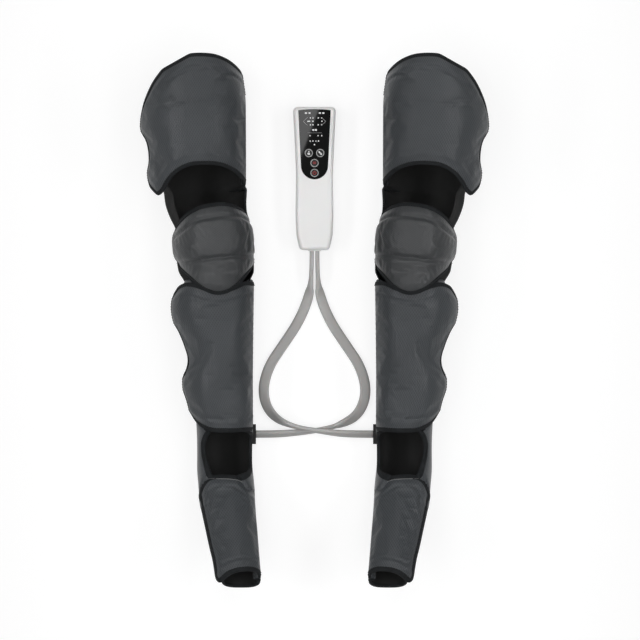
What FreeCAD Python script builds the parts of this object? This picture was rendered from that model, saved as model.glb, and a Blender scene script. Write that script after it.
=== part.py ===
import FreeCAD, Part

import math
import os
from collections import namedtuple

# Leg compression set: two full-leg air wraps, a handheld pump controller and the two hoses that join them.
# The set lies on its back. X runs across it, +Y from the toes towards the thighs and +Z up.
# The origin is on the resting plane, midway between the wraps and midway along them.
# Sizes are in millimetres. One wrap is built at +X, and its mirror image is the other wrap.

V = FreeCAD.Vector
ALONG = V(0, 1, 0)
UP = V(0, 0, 1)

# ---------------------------------------------------------------- driving sizes: wraps
TOE_Y = -401.0            # toe end, with the layout's middle at the origin
HEEL_FROM_TOES = 158.0    # heel fold to toe end, along Y
HEEL_Y = TOE_Y + HEEL_FROM_TOES
KNEE_FOLD = 592.0         # knee fold, from the toes

FLAP_WALL = 4.0           # padded front flaps
COVER_WALL = 2.0          # outer fabric of the back panels
AIRBAG_WALL = 2.0         # flat air chamber between cover and lining
LINING_WALL = 1.2
STRAP_WALL = 4.0          # stretch panel behind the knee
HOOK_WALL = 0.8           # hook tape and heating film
LAYER_GAP = 0.3           # clearance between layers that lie on each other
SEAM_GAP = 0.6            # clearance across a folding seam
LAP_EASE = 0.4            # extra room where the flap lies over the back panel
# The back panel meets the flap flush at the inner side and lies inside it at the outer side, so its axis is
# nearer the inner side than the flap's by this much, and its radius is smaller by as much.
LAP_SHIFT = (FLAP_WALL + 2 * LAYER_GAP + HOOK_WALL + LAP_EASE) / 2
LAP_END = 150.0           # where the back panel ends under the flap, in degrees over the wrap
FLAP_END = 178.0
AIRBAG_SIDE = 22.0        # the air chamber stops this far short of each side, in degrees

# A wrap's length is a cone whose inner side and resting side are straight.
# Distances run from the toe end, or from the heel for the foot; inner and outer are the flap's sides.
Segment = namedtuple("Segment", "origin_y way start start_inner start_outer end end_inner end_outer")
THIGH = Segment(TOE_Y, 1, 588.0, 101.5, 250.0, 803.0, 101.5, 262.0)
KNEE = Segment(TOE_Y, 1, 460.0, 91.0, 212.0, 592.0, 100.0, 230.0)
CALF = Segment(TOE_Y, 1, 156.0, 88.5, 180.0, 459.5, 88.5, 214.0)
FOOT = Segment(HEEL_Y, -1, 0.0, 88.5, 176.0, 181.0, 80.5, 146.0)
REACH = 25.0              # how far a cone is drawn past its ends before it is trimmed

FOOT_TILT = 30.0          # how far the toes point up
FOLD_Z = 3.0              # fold lines lie in the middle of the back panel
FOLD_RELIEF = 12.0        # half angle left open under a fold line
ANKLE_RIM_Z = 67.0        # side walls beside the ankle window
ANKLE_NOTCH = 13.0        # half angle of the side notch at the ankle fold
WINDOW_TOP = 238.0        # ankle window, from the toes
FOOT_RIM_Z = 50.0
FOOT_LAP_START = 50.0
KNEE_NOTCH = 13.5         # half angle of the side notch at the knee fold
STRAP_RIM_Z = 60.0
STRAP_LAP = (478.0, 545.0)
HEATER_SPAN = (475.0, 550.0)
HEATER_SIDE = 42.0        # degrees left free at each side of the heating film
TAPE_INSET = 2.0          # hook tape to the edge of the back panel, in degrees
THIGH_TAPE = (640.0, 735.0, 22.0)   # span, and width in degrees
CALF_TAPE = (375.0, 440.0, 14.0)
FOOT_TAPE = (70.0, 160.0, 18.0)

# Outlines seen from above, as runs of (X, distance from the toes, or from the heel). A run of two is straight.
THIGH_FLAP_RUNS = [
    [(95.0, 606.0), (110.0, 618.5), (131.0, 630.5), (163.0, 635.0), (193.0, 630.5), (211.0, 618.5), (225.0, 600.0)],
    [(225.0, 600.0), (230.0, 591.5), (243.0, 596.0), (249.0, 624.0), (250.0, 660.0), (260.5, 699.0), (256.0, 726.0),
     (241.0, 762.0), (226.0, 780.5)],
    [(226.0, 780.5), (186.0, 802.0)],
    [(186.0, 802.0), (147.0, 800.0), (124.0, 788.0), (108.5, 771.0), (95.0, 740.0)],
    [(95.0, 740.0), (95.0, 606.0)],
]
THIGH_BACK_RUNS = [
    [(95.0, 580.0), (228.0, 580.0)],
    [(228.0, 580.0), (252.0, 618.0)],
    [(252.0, 618.0), (270.0, 690.0)],
    [(270.0, 690.0), (254.0, 716.0), (238.0, 752.0), (222.0, 775.0)],
    [(222.0, 775.0), (184.0, 797.0)],
    [(184.0, 797.0), (147.0, 795.0), (124.0, 783.0), (95.0, 740.0)],
    [(95.0, 740.0), (95.0, 580.0)],
]
CALF_FLAP_RUNS = [
    [(84.0, 247.0), (107.0, 237.0), (136.0, 235.5), (155.0, 237.0), (171.0, 244.0), (183.5, 259.0),
     (195.0, 294.0), (196.5, 319.0), (190.0, 341.0), (203.0, 382.0), (214.5, 420.0), (205.5, 452.0)],
    [(205.5, 452.0), (194.0, 456.0), (178.0, 451.0), (160.0, 441.0), (142.0, 438.0), (122.0, 445.0), (104.0, 457.0),
     (84.0, 459.0)],
    [(84.0, 459.0), (84.0, 247.0)],
]
PAD_RUNS = [
    [(86.0, 493.0), (99.0, 476.0), (120.0, 453.0), (141.0, 443.5), (160.0, 446.0), (179.0, 460.0), (206.5, 490.0)],
    [(206.5, 490.0), (210.0, 525.0), (195.0, 559.5), (152.0, 576.5), (110.0, 570.0), (86.0, 536.0)],
    [(86.0, 536.0), (86.0, 493.0)],
]
FOOT_FLAP_RUNS = [
    [(74.0, 52.0), (96.0, 42.0), (130.0, 35.0), (162.0, 43.0), (173.0, 52.0)],
    [(173.0, 52.0), (146.5, 179.5)],
    [(146.5, 179.5), (136.0, 178.0)],
    [(136.0, 178.0), (74.0, 178.0)],
    [(74.0, 178.0), (74.0, 52.0)],
]

# ---------------------------------------------------------------- driving sizes: controller
CASE_START = 507.0        # lower end, from the toes
CASE_END = 722.0
CASE_WALL = 2.2
CASE_TOP_Z = 37.0
CASE_SPLIT_Z = 17.0
CASE_TOP_ROUND = 7.0
CASE_BASE_ROUND = 4.0
CASE_LIP = 1.2            # tongue and groove along the split
# Corners of the plan on one side: X, distance from the toes, rounding radius.
CASE_PLAN = [(22.4, CASE_START, 7.2), (27.4, 530.0, 45.0), (28.6, 562.0, 300.0), (27.6, 622.0, 600.0),
             (32.4, CASE_END, 7.2)]
# The top line seen from the side: distance from the toes, height, rounding radius.
CASE_CREST = [(CASE_START, 28.5, 0.0), (545.0, 35.2, 200.0), (612.0, CASE_TOP_Z, 600.0), (CASE_END, CASE_TOP_Z, 0.0)]

PANEL_TOP_HALF = 24.5
PANEL_LOW_HALF = 20.4
PANEL_TOP = 717.0
PANEL_SHOULDER = 633.0
PANEL_LOW = 613.0
PANEL_CROWN = 1.6
PANEL_WALL = 1.5
PANEL_GAP = 0.2
FLOOR_WALL = 1.6          # what is left of the case under the panel
FLOOR_MARGIN = 2.5        # the case floor reaches this far beyond the panel
PANEL_FLOOR_Z = CASE_TOP_Z - PANEL_WALL - PANEL_GAP
FLOOR_LOW_Z = PANEL_FLOOR_Z - FLOOR_WALL

BUTTON_R = 6.3
BUTTON_GAP = 0.2
BUTTON_PROUD = 0.5
BUTTON_ROUND = 0.4
BUTTON_TRAVEL = 0.7
BUTTON_FLANGE = 1.0
BUTTON_STEM_R = 2.0
STEM_GAP = 0.1            # left above the switch when the key is down
BUTTONS = {               # X, distance from the toes
    "button_mode": (-8.6, 652.6),
    "button_level": (8.6, 652.6),
    "button_heat": (0.0, 637.6),
    "button_power": (0.0, 622.8),
}
BOARD_Z = 26.0
BOARD_WALL = 1.6
BOARD_HALF = 19.0
BOARD_START = 616.0
BOARD_END = 716.0
BOARD_TOP_Z = BOARD_Z + BOARD_WALL
SWITCH_SIDE = 6.0
SWITCH_H = 3.4
PLUNGER_R = 1.7
PLUNGER_H = 1.2
LED_SIDE = 1.6
LED_H = 0.8
LED_ROWS = (679.0, 694.5, 699.5, 704.5)
LED_HALF_PITCH = 13.0
LED_HOLE_R = 1.0
POST_R = 2.0
POSTS = [(-16.0, 625.0), (16.0, 625.0), (-16.0, 687.0), (16.0, 687.0)]

MOTOR_R = 12.0
MOTOR_LENGTH = 30.0
MOTOR_START = 578.0
MOTOR_Z = 16.5
MOTOR_NOSE_R = 4.0
MOTOR_NOSE_LENGTH = 2.0
SADDLE_WALL = 3.0
SADDLES = (584.0, 600.0)
PUMP_SIDE = 26.0
PUMP_H = 24.0
PUMP_LENGTH = 20.0
PUMP_ROUND = 4.0
NOZZLE_LENGTH = 3.0
VALVE_SIDE = 13.0
VALVE_H = 17.0
VALVE_LENGTH = 17.0
TUBE_R = 2.4
TUBE_BORE = 1.5
NEIGHBOUR_GAP = 0.6       # between parts that stand side by side
CELL_R = 9.1
CELL_LENGTH = 65.0
CELL_START = 634.0
PORT_HALF = 4.5
PORT_H = 3.3
PORT_WALL = 0.35
PORT_DEPTH = 7.4
PORT_Z = BOARD_Z - PORT_H / 2 - 0.1
TONGUE_HALF = 3.1
TONGUE_H = 0.7
SCREW_R = 1.3
SCREW_FIT = 0.05
SCREW_HEAD_R = 2.6
SCREW_HEAD_H = 1.8
SCREW_LENGTH = 13.0
SCREW_SUNK = 0.2
SLOT_LENGTH = 3.2
SLOT_WIDTH = 0.7
BOSS_R = 3.4
SCREWS = [(-20.0, 546.0), (20.0, 546.0), (-24.0, 700.0), (24.0, 700.0)]

# ---------------------------------------------------------------- driving sizes: hoses
HOSE_D = 8.0
HOSE_PITCH = 8.4
HOSE_EXIT_Z = 15.0
COLLAR_HALF = 10.0
COLLAR_H = 12.0
COLLAR_START = 505.5
COLLAR_BACK = 511.5
INLET_X = 88.0
INLET_FROM_TOES = 230.5
INLET_Z = 12.0
INLET_LENGTH = 30.0
INLET_H = 15.0
INLET_ROUND = 3.0
# Route points are X, distance from the toes and height, from the controller to the far wrap.
HOSE_TO_RIGHT_ROUTE = [
    (-HOSE_PITCH / 2, COLLAR_START, HOSE_EXIT_Z), (-HOSE_PITCH / 2, 480.0, HOSE_EXIT_Z), (-6.5, 442.0, 5.0),
    (-22.0, 402.0, 4.0), (-46.0, 366.0, 4.0), (-70.0, 331.0, 4.0), (-79.0, 292.0, 4.0), (-66.0, 258.5, 8.5),
    (-32.0, 241.0, 25.0), (24.0, 232.8, 25.0), (56.0, INLET_FROM_TOES, INLET_Z),
    (INLET_X, INLET_FROM_TOES, INLET_Z),
]
HOSE_TO_LEFT_ROUTE = [
    (HOSE_PITCH / 2, COLLAR_START, HOSE_EXIT_Z), (HOSE_PITCH / 2, 480.0, HOSE_EXIT_Z), (6.5, 442.0, 5.0),
    (22.0, 402.0, 4.0), (46.0, 366.0, 4.0), (70.0, 331.0, 4.0), (79.0, 292.0, 4.0), (66.0, 258.5, 5.0),
    (36.0, 243.0, 8.0), (-1.0, 235.0, 8.5), (-30.0, 232.5, 8.5), (-60.0, INLET_FROM_TOES, INLET_Z),
    (-INLET_X, INLET_FROM_TOES, INLET_Z),
]


def y_at(distance):
    """Y of a distance measured from the toe end."""
    return TOE_Y + distance


# ---------------------------------------------------------------- building blocks
def curve(points):
    """A smooth edge through points, or a straight one through two."""
    if len(points) == 2:
        return Part.LineSegment(*points).toShape()
    spline = Part.BSplineCurve()
    spline.interpolate(points)
    return spline.toShape()


def prism(runs, segment, low=-20.0, high=220.0):
    """A solid that stands on an outline drawn from above."""
    edges = [curve([V(x, segment.origin_y + segment.way * d, low) for x, d in run]) for run in runs]
    return Part.Face(Part.Wire(edges)).extrude(UP * (high - low))


def tangent_path(points, radius_of, closed):
    """Straight runs joined by tangent arcs. radius_of gives a corner's radius from its number and its two runs."""
    count = len(points)
    corners = range(count) if closed else range(1, count - 1)
    cuts = {}
    for i in corners:
        corner = points[i]
        back, ahead = points[i - 1] - corner, points[(i + 1) % count] - corner
        turn = math.pi - back.getAngle(ahead)
        radius = radius_of(i, back, ahead, turn)
        cut = radius * math.tan(turn / 2)
        start, end = corner + back / back.Length * cut, corner + ahead / ahead.Length * cut
        bisector = back / back.Length + ahead / ahead.Length
        centre = corner + bisector / bisector.Length * math.hypot(radius, cut)
        towards = corner - centre
        cuts[i] = (start, centre + towards / towards.Length * radius, end)
    edges = []
    at = cuts[count - 1][2] if closed else points[0]
    for i in corners:
        start, middle, end = cuts[i]
        edges.append(Part.LineSegment(at, start).toShape())
        edges.append(Part.Arc(start, middle, end).toShape())
        at = end
    if not closed:
        edges.append(Part.LineSegment(at, points[-1]).toShape())
    return Part.Wire(edges)


def cylinder(radius, height, x, distance, z, axis=UP):
    return Part.makeCylinder(radius, height, V(x, y_at(distance), z), axis)


def block(half, start, end, low, high, x=0.0):
    """A box given by half its width about X, two distances from the toes and two heights."""
    return Part.makeBox(2 * half, end - start, high - low, V(x - half, y_at(start), low))


def round_along(solid, radius, axis=ALONG):
    """Rounds the straight edges of a box that run along an axis."""
    edges = [e for e in solid.Edges if abs(e.tangentAt(e.FirstParameter).dot(axis)) > 0.9]
    return solid.makeFillet(radius, edges)


# ---------------------------------------------------------------- wrap shapes
def share(segment, distance):
    return (distance - segment.start) / (segment.end - segment.start)


def inner_at(segment, distance):
    return segment.start_inner + (segment.end_inner - segment.start_inner) * share(segment, distance)


def radius_at(segment, distance):
    outer = segment.start_outer + (segment.end_outer - segment.start_outer) * share(segment, distance)
    return (outer - inner_at(segment, distance)) / 2


def centre_at(segment, distance):
    """A point on the flap's axis. The back panel's lowest line lies at height 0."""
    radius = radius_at(segment, distance)
    y = segment.origin_y + segment.way * distance
    return V(inner_at(segment, distance) + radius, y, radius - LAP_SHIFT)


def cone(segment, depth, shift):
    """The solid cone inside a flap's or back panel's outer surface. shift is 0 or LAP_SHIFT."""
    low, high = segment.start - REACH, segment.end + REACH
    foot, head = (centre_at(segment, d) - V(shift, 0, 0) for d in (low, high))
    axis = head - foot
    foot_radius, head_radius = (radius_at(segment, d) - shift - depth for d in (low, high))
    lean = (head_radius - foot_radius) / axis.Length
    stretch = 1 / math.sqrt(1 - lean * lean)
    return Part.makeCone(foot_radius * stretch, head_radius * stretch, axis.Length, foot, axis)


def flap_layer(segment, depth, wall):
    return cone(segment, depth, 0.0).cut(cone(segment, depth + wall, 0.0))


def back_layer(segment, depth, wall):
    return cone(segment, depth, LAP_SHIFT).cut(cone(segment, depth + wall, LAP_SHIFT))


def wedge(segment, start, end):
    """All that lies between two angles about a wrap's axis. 0 degrees is the inner side and 90 the top."""
    far = 400.0
    foot = centre_at(segment, segment.start - 2 * REACH)
    head = centre_at(segment, segment.end + 2 * REACH)
    count = max(2, math.ceil((end - start) / 60.0))
    angles = [math.radians(start + (end - start) * i / count) for i in range(count + 1)]
    points = [foot] + [foot + V(-far * math.cos(a), 0, far * math.sin(a)) for a in angles]
    return Part.Face(Part.makePolygon(points + points[:1])).extrude(head - foot)


def span(segment, low, high, floor=-50.0, top=300.0):
    """All that lies between two distances along a wrap, and two heights."""
    ends = sorted(segment.origin_y + segment.way * d for d in (low, high))
    return Part.makeBox(400.0, ends[1] - ends[0], top - floor, V(0.0, ends[0], floor))


def fold_cut(y, half_angle, towards):
    """What to remove so that a panel stops short of the planes that lean away from a fold line at Y."""
    far = 400.0
    lean, relief = (math.tan(math.radians(angle)) for angle in (half_angle, FOLD_RELIEF))
    edge = y + towards * SEAM_GAP / 2
    loop = [V(0, yy, zz) for yy, zz in [
        (edge + towards * relief * far / 4, FOLD_Z - far / 4),
        (edge, FOLD_Z),
        (edge + towards * lean * far, FOLD_Z + far),
        (y - towards * far, FOLD_Z + far),
        (y - towards * far, FOLD_Z - far / 4),
    ]]
    return Part.Face(Part.makePolygon(loop + loop[:1])).extrude(V(far, 0, 0))


def seam_angle(segment):
    """Half the seam gap at the hinge side, in degrees."""
    return math.degrees(SEAM_GAP / 2 / radius_at(segment, (segment.start + segment.end) / 2))


def back_layers(segment, trim):
    """Cover, air chamber and lining of a back panel. trim cuts a solid to the panel's outline."""
    front = wedge(segment, -seam_angle(segment), LAP_END)
    bag_depth = COVER_WALL + LAYER_GAP
    lining_depth = bag_depth + AIRBAG_WALL + LAYER_GAP
    cover = back_layer(segment, 0.0, COVER_WALL).cut(front)
    airbag = back_layer(segment, bag_depth, AIRBAG_WALL)
    airbag = airbag.common(wedge(segment, 180.0 + AIRBAG_SIDE, 360.0 - AIRBAG_SIDE))
    lining = back_layer(segment, lining_depth, LINING_WALL).cut(front)
    return trim(cover), trim(airbag), trim(lining)


def flap(segment, runs):
    """A padded front flap cut to its outline."""
    body = flap_layer(segment, 0.0, FLAP_WALL).common(wedge(segment, seam_angle(segment), FLAP_END))
    return body.common(prism(runs, segment))


def film(segment, low, high, start, end):
    """Hook tape or heating film against the inside of a flap."""
    layer = flap_layer(segment, FLAP_WALL + LAYER_GAP, HOOK_WALL)
    return layer.common(wedge(segment, start, end)).common(span(segment, low, high))


def hook_tape(segment, tape):
    low, high, width = tape
    return film(segment, low, high, LAP_END + TAPE_INSET, LAP_END + TAPE_INSET + width)


def thigh_parts():
    knee_side = fold_cut(y_at(KNEE_FOLD), KNEE_NOTCH, 1)
    outline = prism(THIGH_BACK_RUNS, THIGH)
    cover, airbag, lining = back_layers(THIGH, lambda solid: solid.common(outline).cut(knee_side))
    return {
        "thigh_back": cover,
        "thigh_airbag": airbag,
        "thigh_lining": lining,
        "thigh_hook_tape": hook_tape(THIGH, THIGH_TAPE),
        "thigh_flap": flap(THIGH, THIGH_FLAP_RUNS),
    }


def knee_parts():
    strap = back_layer(KNEE, 0.0, STRAP_WALL).cut(wedge(KNEE, -seam_angle(KNEE), LAP_END))
    strap = strap.cut(fold_cut(y_at(KNEE_FOLD), KNEE_NOTCH, -1)).common(span(KNEE, KNEE.start, KNEE.end))
    for low, high in ((KNEE.start - REACH, STRAP_LAP[0]), (STRAP_LAP[1], KNEE.end + REACH)):
        strap = strap.cut(span(KNEE, low, high, STRAP_RIM_Z))
    return {
        "knee_strap": strap,
        "knee_pad": flap(KNEE, PAD_RUNS),
        "knee_heating_film": film(KNEE, *HEATER_SPAN, HEATER_SIDE, 180.0 - HEATER_SIDE),
    }


def calf_parts():
    heel_side = fold_cut(HEEL_Y, ANKLE_NOTCH, 1)
    window = span(CALF, CALF.start - REACH, WINDOW_TOP, ANKLE_RIM_Z)
    above = span(CALF, CALF.end, CALF.end + 2 * REACH)
    cover, airbag, lining = back_layers(CALF, lambda solid: solid.cut(window).cut(heel_side).cut(above))
    return {
        "calf_back": cover,
        "calf_airbag": airbag,
        "calf_lining": lining,
        "calf_hook_tape": hook_tape(CALF, CALF_TAPE),
        "calf_flap": flap(CALF, CALF_FLAP_RUNS),
    }


def tip_foot(solid):
    """Tips a foot piece up about the heel fold."""
    turned = solid.copy()
    turned.rotate(V(0, HEEL_Y, FOLD_Z), V(1, 0, 0), -FOOT_TILT)
    return turned


def foot_parts():
    calf_side = fold_cut(HEEL_Y, ANKLE_NOTCH, -1)
    ankle_rim = span(FOOT, -3 * REACH, FOOT_LAP_START, FOOT_RIM_Z)
    beyond = span(FOOT, FOOT.end, FOOT.end + 2 * REACH)
    below = span(FOOT, -3 * REACH, FOOT.end, top=0.0)
    cover, airbag, lining = back_layers(
        FOOT, lambda solid: tip_foot(solid.cut(ankle_rim).cut(beyond)).cut(calf_side).cut(below))
    return {
        "foot_sole": cover,
        "foot_airbag": airbag,
        "foot_lining": lining,
        "foot_hook_tape": tip_foot(hook_tape(FOOT, FOOT_TAPE)),
        "foot_flap": tip_foot(flap(FOOT, FOOT_FLAP_RUNS)),
    }


def hose_inlet():
    """Moulded boot on the inner side of the ankle, where a hose goes in."""
    reach = centre_at(CALF, INLET_FROM_TOES).x - INLET_X
    box = block(reach / 2, INLET_FROM_TOES - INLET_LENGTH / 2, INLET_FROM_TOES + INLET_LENGTH / 2,
                INLET_Z - INLET_H / 2, INLET_Z + INLET_H / 2, INLET_X + reach / 2)
    return round_along(box, INLET_ROUND, V(1, 0, 0)).cut(cone(CALF, -LAYER_GAP, LAP_SHIFT))


# ---------------------------------------------------------------- controller
def case_solid(inset):
    """The controller's outer form, or its hollow when inset."""
    corners = CASE_PLAN + [(-x, d, r) for x, d, r in reversed(CASE_PLAN)]
    plan = tangent_path([V(x, y_at(d), 0) for x, d, _ in corners], lambda i, *_: corners[i][2], True)
    if inset:
        plan = plan.makeOffset2D(-inset)
    body = Part.Face(plan).extrude(UP * 2 * CASE_TOP_Z)
    crest = tangent_path([V(0, y_at(d), z - inset) for d, z, _ in CASE_CREST], lambda i, *_: CASE_CREST[i][2], False)
    first, last = crest.Vertexes[0].Point, crest.Vertexes[-1].Point
    rest = [first - ALONG, V(0, first.y - 1, inset), V(0, last.y + 1, inset), last + ALONG]
    profile = Part.Wire(crest.Edges + Part.makePolygon([first] + rest + [last]).Edges)
    side = Part.Face(profile)
    side.translate(V(-2 * CASE_TOP_Z, 0, 0))
    body = body.common(side.extrude(V(4 * CASE_TOP_Z, 0, 0))).Solids[0]
    body = body.makeFillet(CASE_TOP_ROUND - inset, rim_edges(body, 1)).Solids[0]
    return body.makeFillet(CASE_BASE_ROUND - inset, rim_edges(body, -1)).Solids[0]


def rim_edges(body, side):
    """The edges round the top of a solid, or with side -1 round its base, where its walls begin."""
    def upright(face):
        u0, u1, v0, v1 = face.ParameterRange
        return abs(face.normalAt((u0 + u1) / 2, (v0 + v1) / 2).z) < 0.1
    walls = [f for f in body.Faces if upright(f)]
    ends = [f for f in body.Faces if not upright(f) and side * (f.CenterOfMass.z - body.CenterOfMass.z) > 0]
    return [e for e in body.Edges if any(e.isSame(w) for f in walls for w in f.Edges)
            and any(e.isSame(t) for f in ends for t in f.Edges)]


def panel_prism(gap, low, high):
    """The glossy panel's outline: a tapering tongue with a round lower end."""
    top, low_half, top_half = PANEL_TOP - gap, PANEL_LOW_HALF - gap, PANEL_TOP_HALF - gap
    left = [V(-low_half, y_at(PANEL_SHOULDER), low), V(-top_half, y_at(top), low)]
    right = [V(-p.x, p.y, p.z) for p in left]
    crown = V(0, y_at(top + PANEL_CROWN), low)
    tip = V(0, y_at(PANEL_LOW + gap), low)
    edges = [
        Part.LineSegment(left[0], left[1]).toShape(),
        Part.Arc(left[1], crown, right[1]).toShape(),
        Part.LineSegment(right[1], right[0]).toShape(),
        Part.Arc(right[0], tip, left[0]).toShape(),
    ]
    return Part.Face(Part.Wire(edges)).extrude(UP * (high - low))


def collar_waist(gap):
    """The part of the hose collar that sits in the controller's end wall."""
    half, height = COLLAR_HALF - 1.0 + gap, COLLAR_H - 2.0 + 2 * gap
    box = block(half, COLLAR_START, COLLAR_BACK, HOSE_EXIT_Z - height / 2, HOSE_EXIT_Z + height / 2)
    return round_along(box, height / 2 - 0.3)


def hose_collar():
    """Soft collar that the hoses leave the controller by."""
    head = block(COLLAR_HALF, COLLAR_START, CASE_START - PANEL_GAP,
                 HOSE_EXIT_Z - COLLAR_H / 2, HOSE_EXIT_Z + COLLAR_H / 2)
    return round_along(head, COLLAR_H / 2 - 0.3).fuse(collar_waist(0.0)).removeSplitter()


def port_block(gap, depth):
    """The flat oval outside of the charging port, from the controller's end face inwards."""
    half, height = PORT_HALF + gap, PORT_H + 2 * gap
    box = block(half, CASE_END - PORT_DEPTH, CASE_END - PORT_DEPTH + depth, PORT_Z - height / 2, PORT_Z + height / 2)
    return round_along(box, height / 2 - 0.05)


def case_halves():
    hollow = case_solid(CASE_WALL)
    split = block(100.0, CASE_START - 50.0, CASE_END + 50.0, CASE_SPLIT_Z, 100.0)
    floor = hollow.common(panel_prism(-FLOOR_MARGIN, FLOOR_LOW_Z, 60.0))
    walls = case_solid(0.0).cut(hollow.cut(floor)).cut(panel_prism(0.0, PANEL_FLOOR_Z, 60.0))
    ways = [port_block(PANEL_GAP, 2 * PORT_DEPTH), collar_waist(PANEL_GAP)]
    ways += [cylinder(BUTTON_R + BUTTON_GAP, 20.0, x, d, FLOOR_LOW_Z - 1.0) for x, d in BUTTONS.values()]
    ways += [cylinder(LED_HOLE_R, 20.0, x, d, FLOOR_LOW_Z - 1.0)
             for x in (-LED_HALF_PITCH, LED_HALF_PITCH) for d in LED_ROWS]
    for way in ways:
        walls = walls.cut(way)
    groove = case_solid(CASE_WALL - CASE_LIP - LAYER_GAP / 2)
    groove = groove.common(block(100.0, 0.0, 1000.0, CASE_SPLIT_Z, CASE_SPLIT_Z + CASE_LIP + LAYER_GAP))
    tongue = case_solid(CASE_WALL - CASE_LIP).cut(hollow)
    tongue = tongue.common(block(100.0, 0.0, 1000.0, CASE_SPLIT_Z - 1.0, CASE_SPLIT_Z + CASE_LIP)).cut(ways[1])
    upper = walls.common(split).cut(groove)
    lower = walls.cut(split).fuse(tongue)
    return add_posts(add_pillars(upper)), add_saddles(add_bosses(lower))


def add_bosses(lower):
    """Screw bosses in the lower half, each with a sunk seat for its head."""
    inside = case_solid(CASE_WALL / 2)
    for x, d in SCREWS:
        lower = lower.fuse(cylinder(BOSS_R, CASE_SPLIT_Z - 1.0, x, d, 0.0).common(inside))
        lower = lower.cut(cylinder(SCREW_R + LAYER_GAP, 40.0, x, d, -1.0))
        lower = lower.cut(cylinder(SCREW_HEAD_R + LAYER_GAP, SCREW_SUNK + SCREW_HEAD_H + 1.0, x, d, -1.0))
    return lower


def add_pillars(upper):
    """Screw pillars that hang from the upper half down to the bosses."""
    inside = case_solid(CASE_WALL / 2)
    depth = SCREW_SUNK + SCREW_LENGTH - CASE_SPLIT_Z + 4.0
    for x, d in SCREWS:
        pillar = cylinder(BOSS_R, 30.0, x, d, CASE_SPLIT_Z - 0.8).common(inside)
        pillar = pillar.cut(panel_prism(0.0, PANEL_FLOOR_Z, 60.0))
        upper = upper.fuse(pillar).cut(cylinder(SCREW_R, depth, x, d, CASE_SPLIT_Z - 2.0))
    return upper


def add_posts(upper):
    """Short posts between the case floor and the circuit board."""
    for x, d in POSTS:
        upper = upper.fuse(cylinder(POST_R, FLOOR_LOW_Z + FLOOR_WALL / 2 - BOARD_TOP_Z, x, d, BOARD_TOP_Z))
    return upper.removeSplitter()


def add_saddles(lower):
    """Two ribs that carry the motor."""
    bed = cylinder(MOTOR_R + LAYER_GAP, 60.0, 0.0, MOTOR_START - 10.0, MOTOR_Z, ALONG)
    for d in SADDLES:
        lower = lower.fuse(block(MOTOR_R, d, d + SADDLE_WALL, CASE_WALL / 2, MOTOR_Z).cut(bed))
    return lower.removeSplitter()


def screw_solid(x, distance):
    head = cylinder(SCREW_HEAD_R, SCREW_HEAD_H, x, distance, SCREW_SUNK)
    shaft = cylinder(SCREW_R - SCREW_FIT, SCREW_LENGTH, x, distance, SCREW_SUNK)
    long_half, short_half = SLOT_LENGTH / 2, SLOT_WIDTH / 2
    slots = block(long_half, distance - short_half, distance + short_half, 0.0, 1.0, x)
    slots = slots.fuse(block(short_half, distance - long_half, distance + long_half, 0.0, 1.0, x))
    return head.fuse(shaft).cut(slots)


def button_solid(x, distance):
    """A round key: cap through the panel, flange under the case floor and a stem to its switch."""
    cap_low = FLOOR_LOW_Z - BUTTON_GAP
    cap_top = CASE_TOP_Z + BUTTON_PROUD
    cap = cylinder(BUTTON_R, cap_top - cap_low, x, distance, cap_low)
    cap = cap.makeFillet(BUTTON_ROUND, [e for e in cap.Edges if e.BoundBox.ZMin > cap_top - 0.1])
    flange = cylinder(BUTTON_R + BUTTON_FLANGE, BUTTON_FLANGE, x, distance, cap_low - BUTTON_FLANGE)
    stem_low = BOARD_TOP_Z + SWITCH_H + BUTTON_TRAVEL + STEM_GAP
    stem = cylinder(BUTTON_STEM_R, cap_low - stem_low, x, distance, stem_low)
    return cap.fuse(flange).fuse(stem).removeSplitter()


def board_parts():
    board = block(BOARD_HALF, BOARD_START, BOARD_END, BOARD_Z, BOARD_TOP_Z)
    half = SWITCH_SIDE / 2
    plunger_z = BOARD_TOP_Z + SWITCH_H - PLUNGER_H
    switches = [block(half, d - half, d + half, BOARD_TOP_Z, plunger_z, x).fuse(
        cylinder(PLUNGER_R, PLUNGER_H, x, d, plunger_z)) for x, d in BUTTONS.values()]
    half = LED_SIDE / 2
    leds = [block(half, d - half, d + half, BOARD_TOP_Z, BOARD_TOP_Z + LED_H, x)
            for x in (-LED_HALF_PITCH, LED_HALF_PITCH) for d in LED_ROWS]
    return {
        "circuit_board": board,
        "key_switches": Part.makeCompound(switches),
        "indicator_leds": Part.makeCompound(leds),
    }


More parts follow.
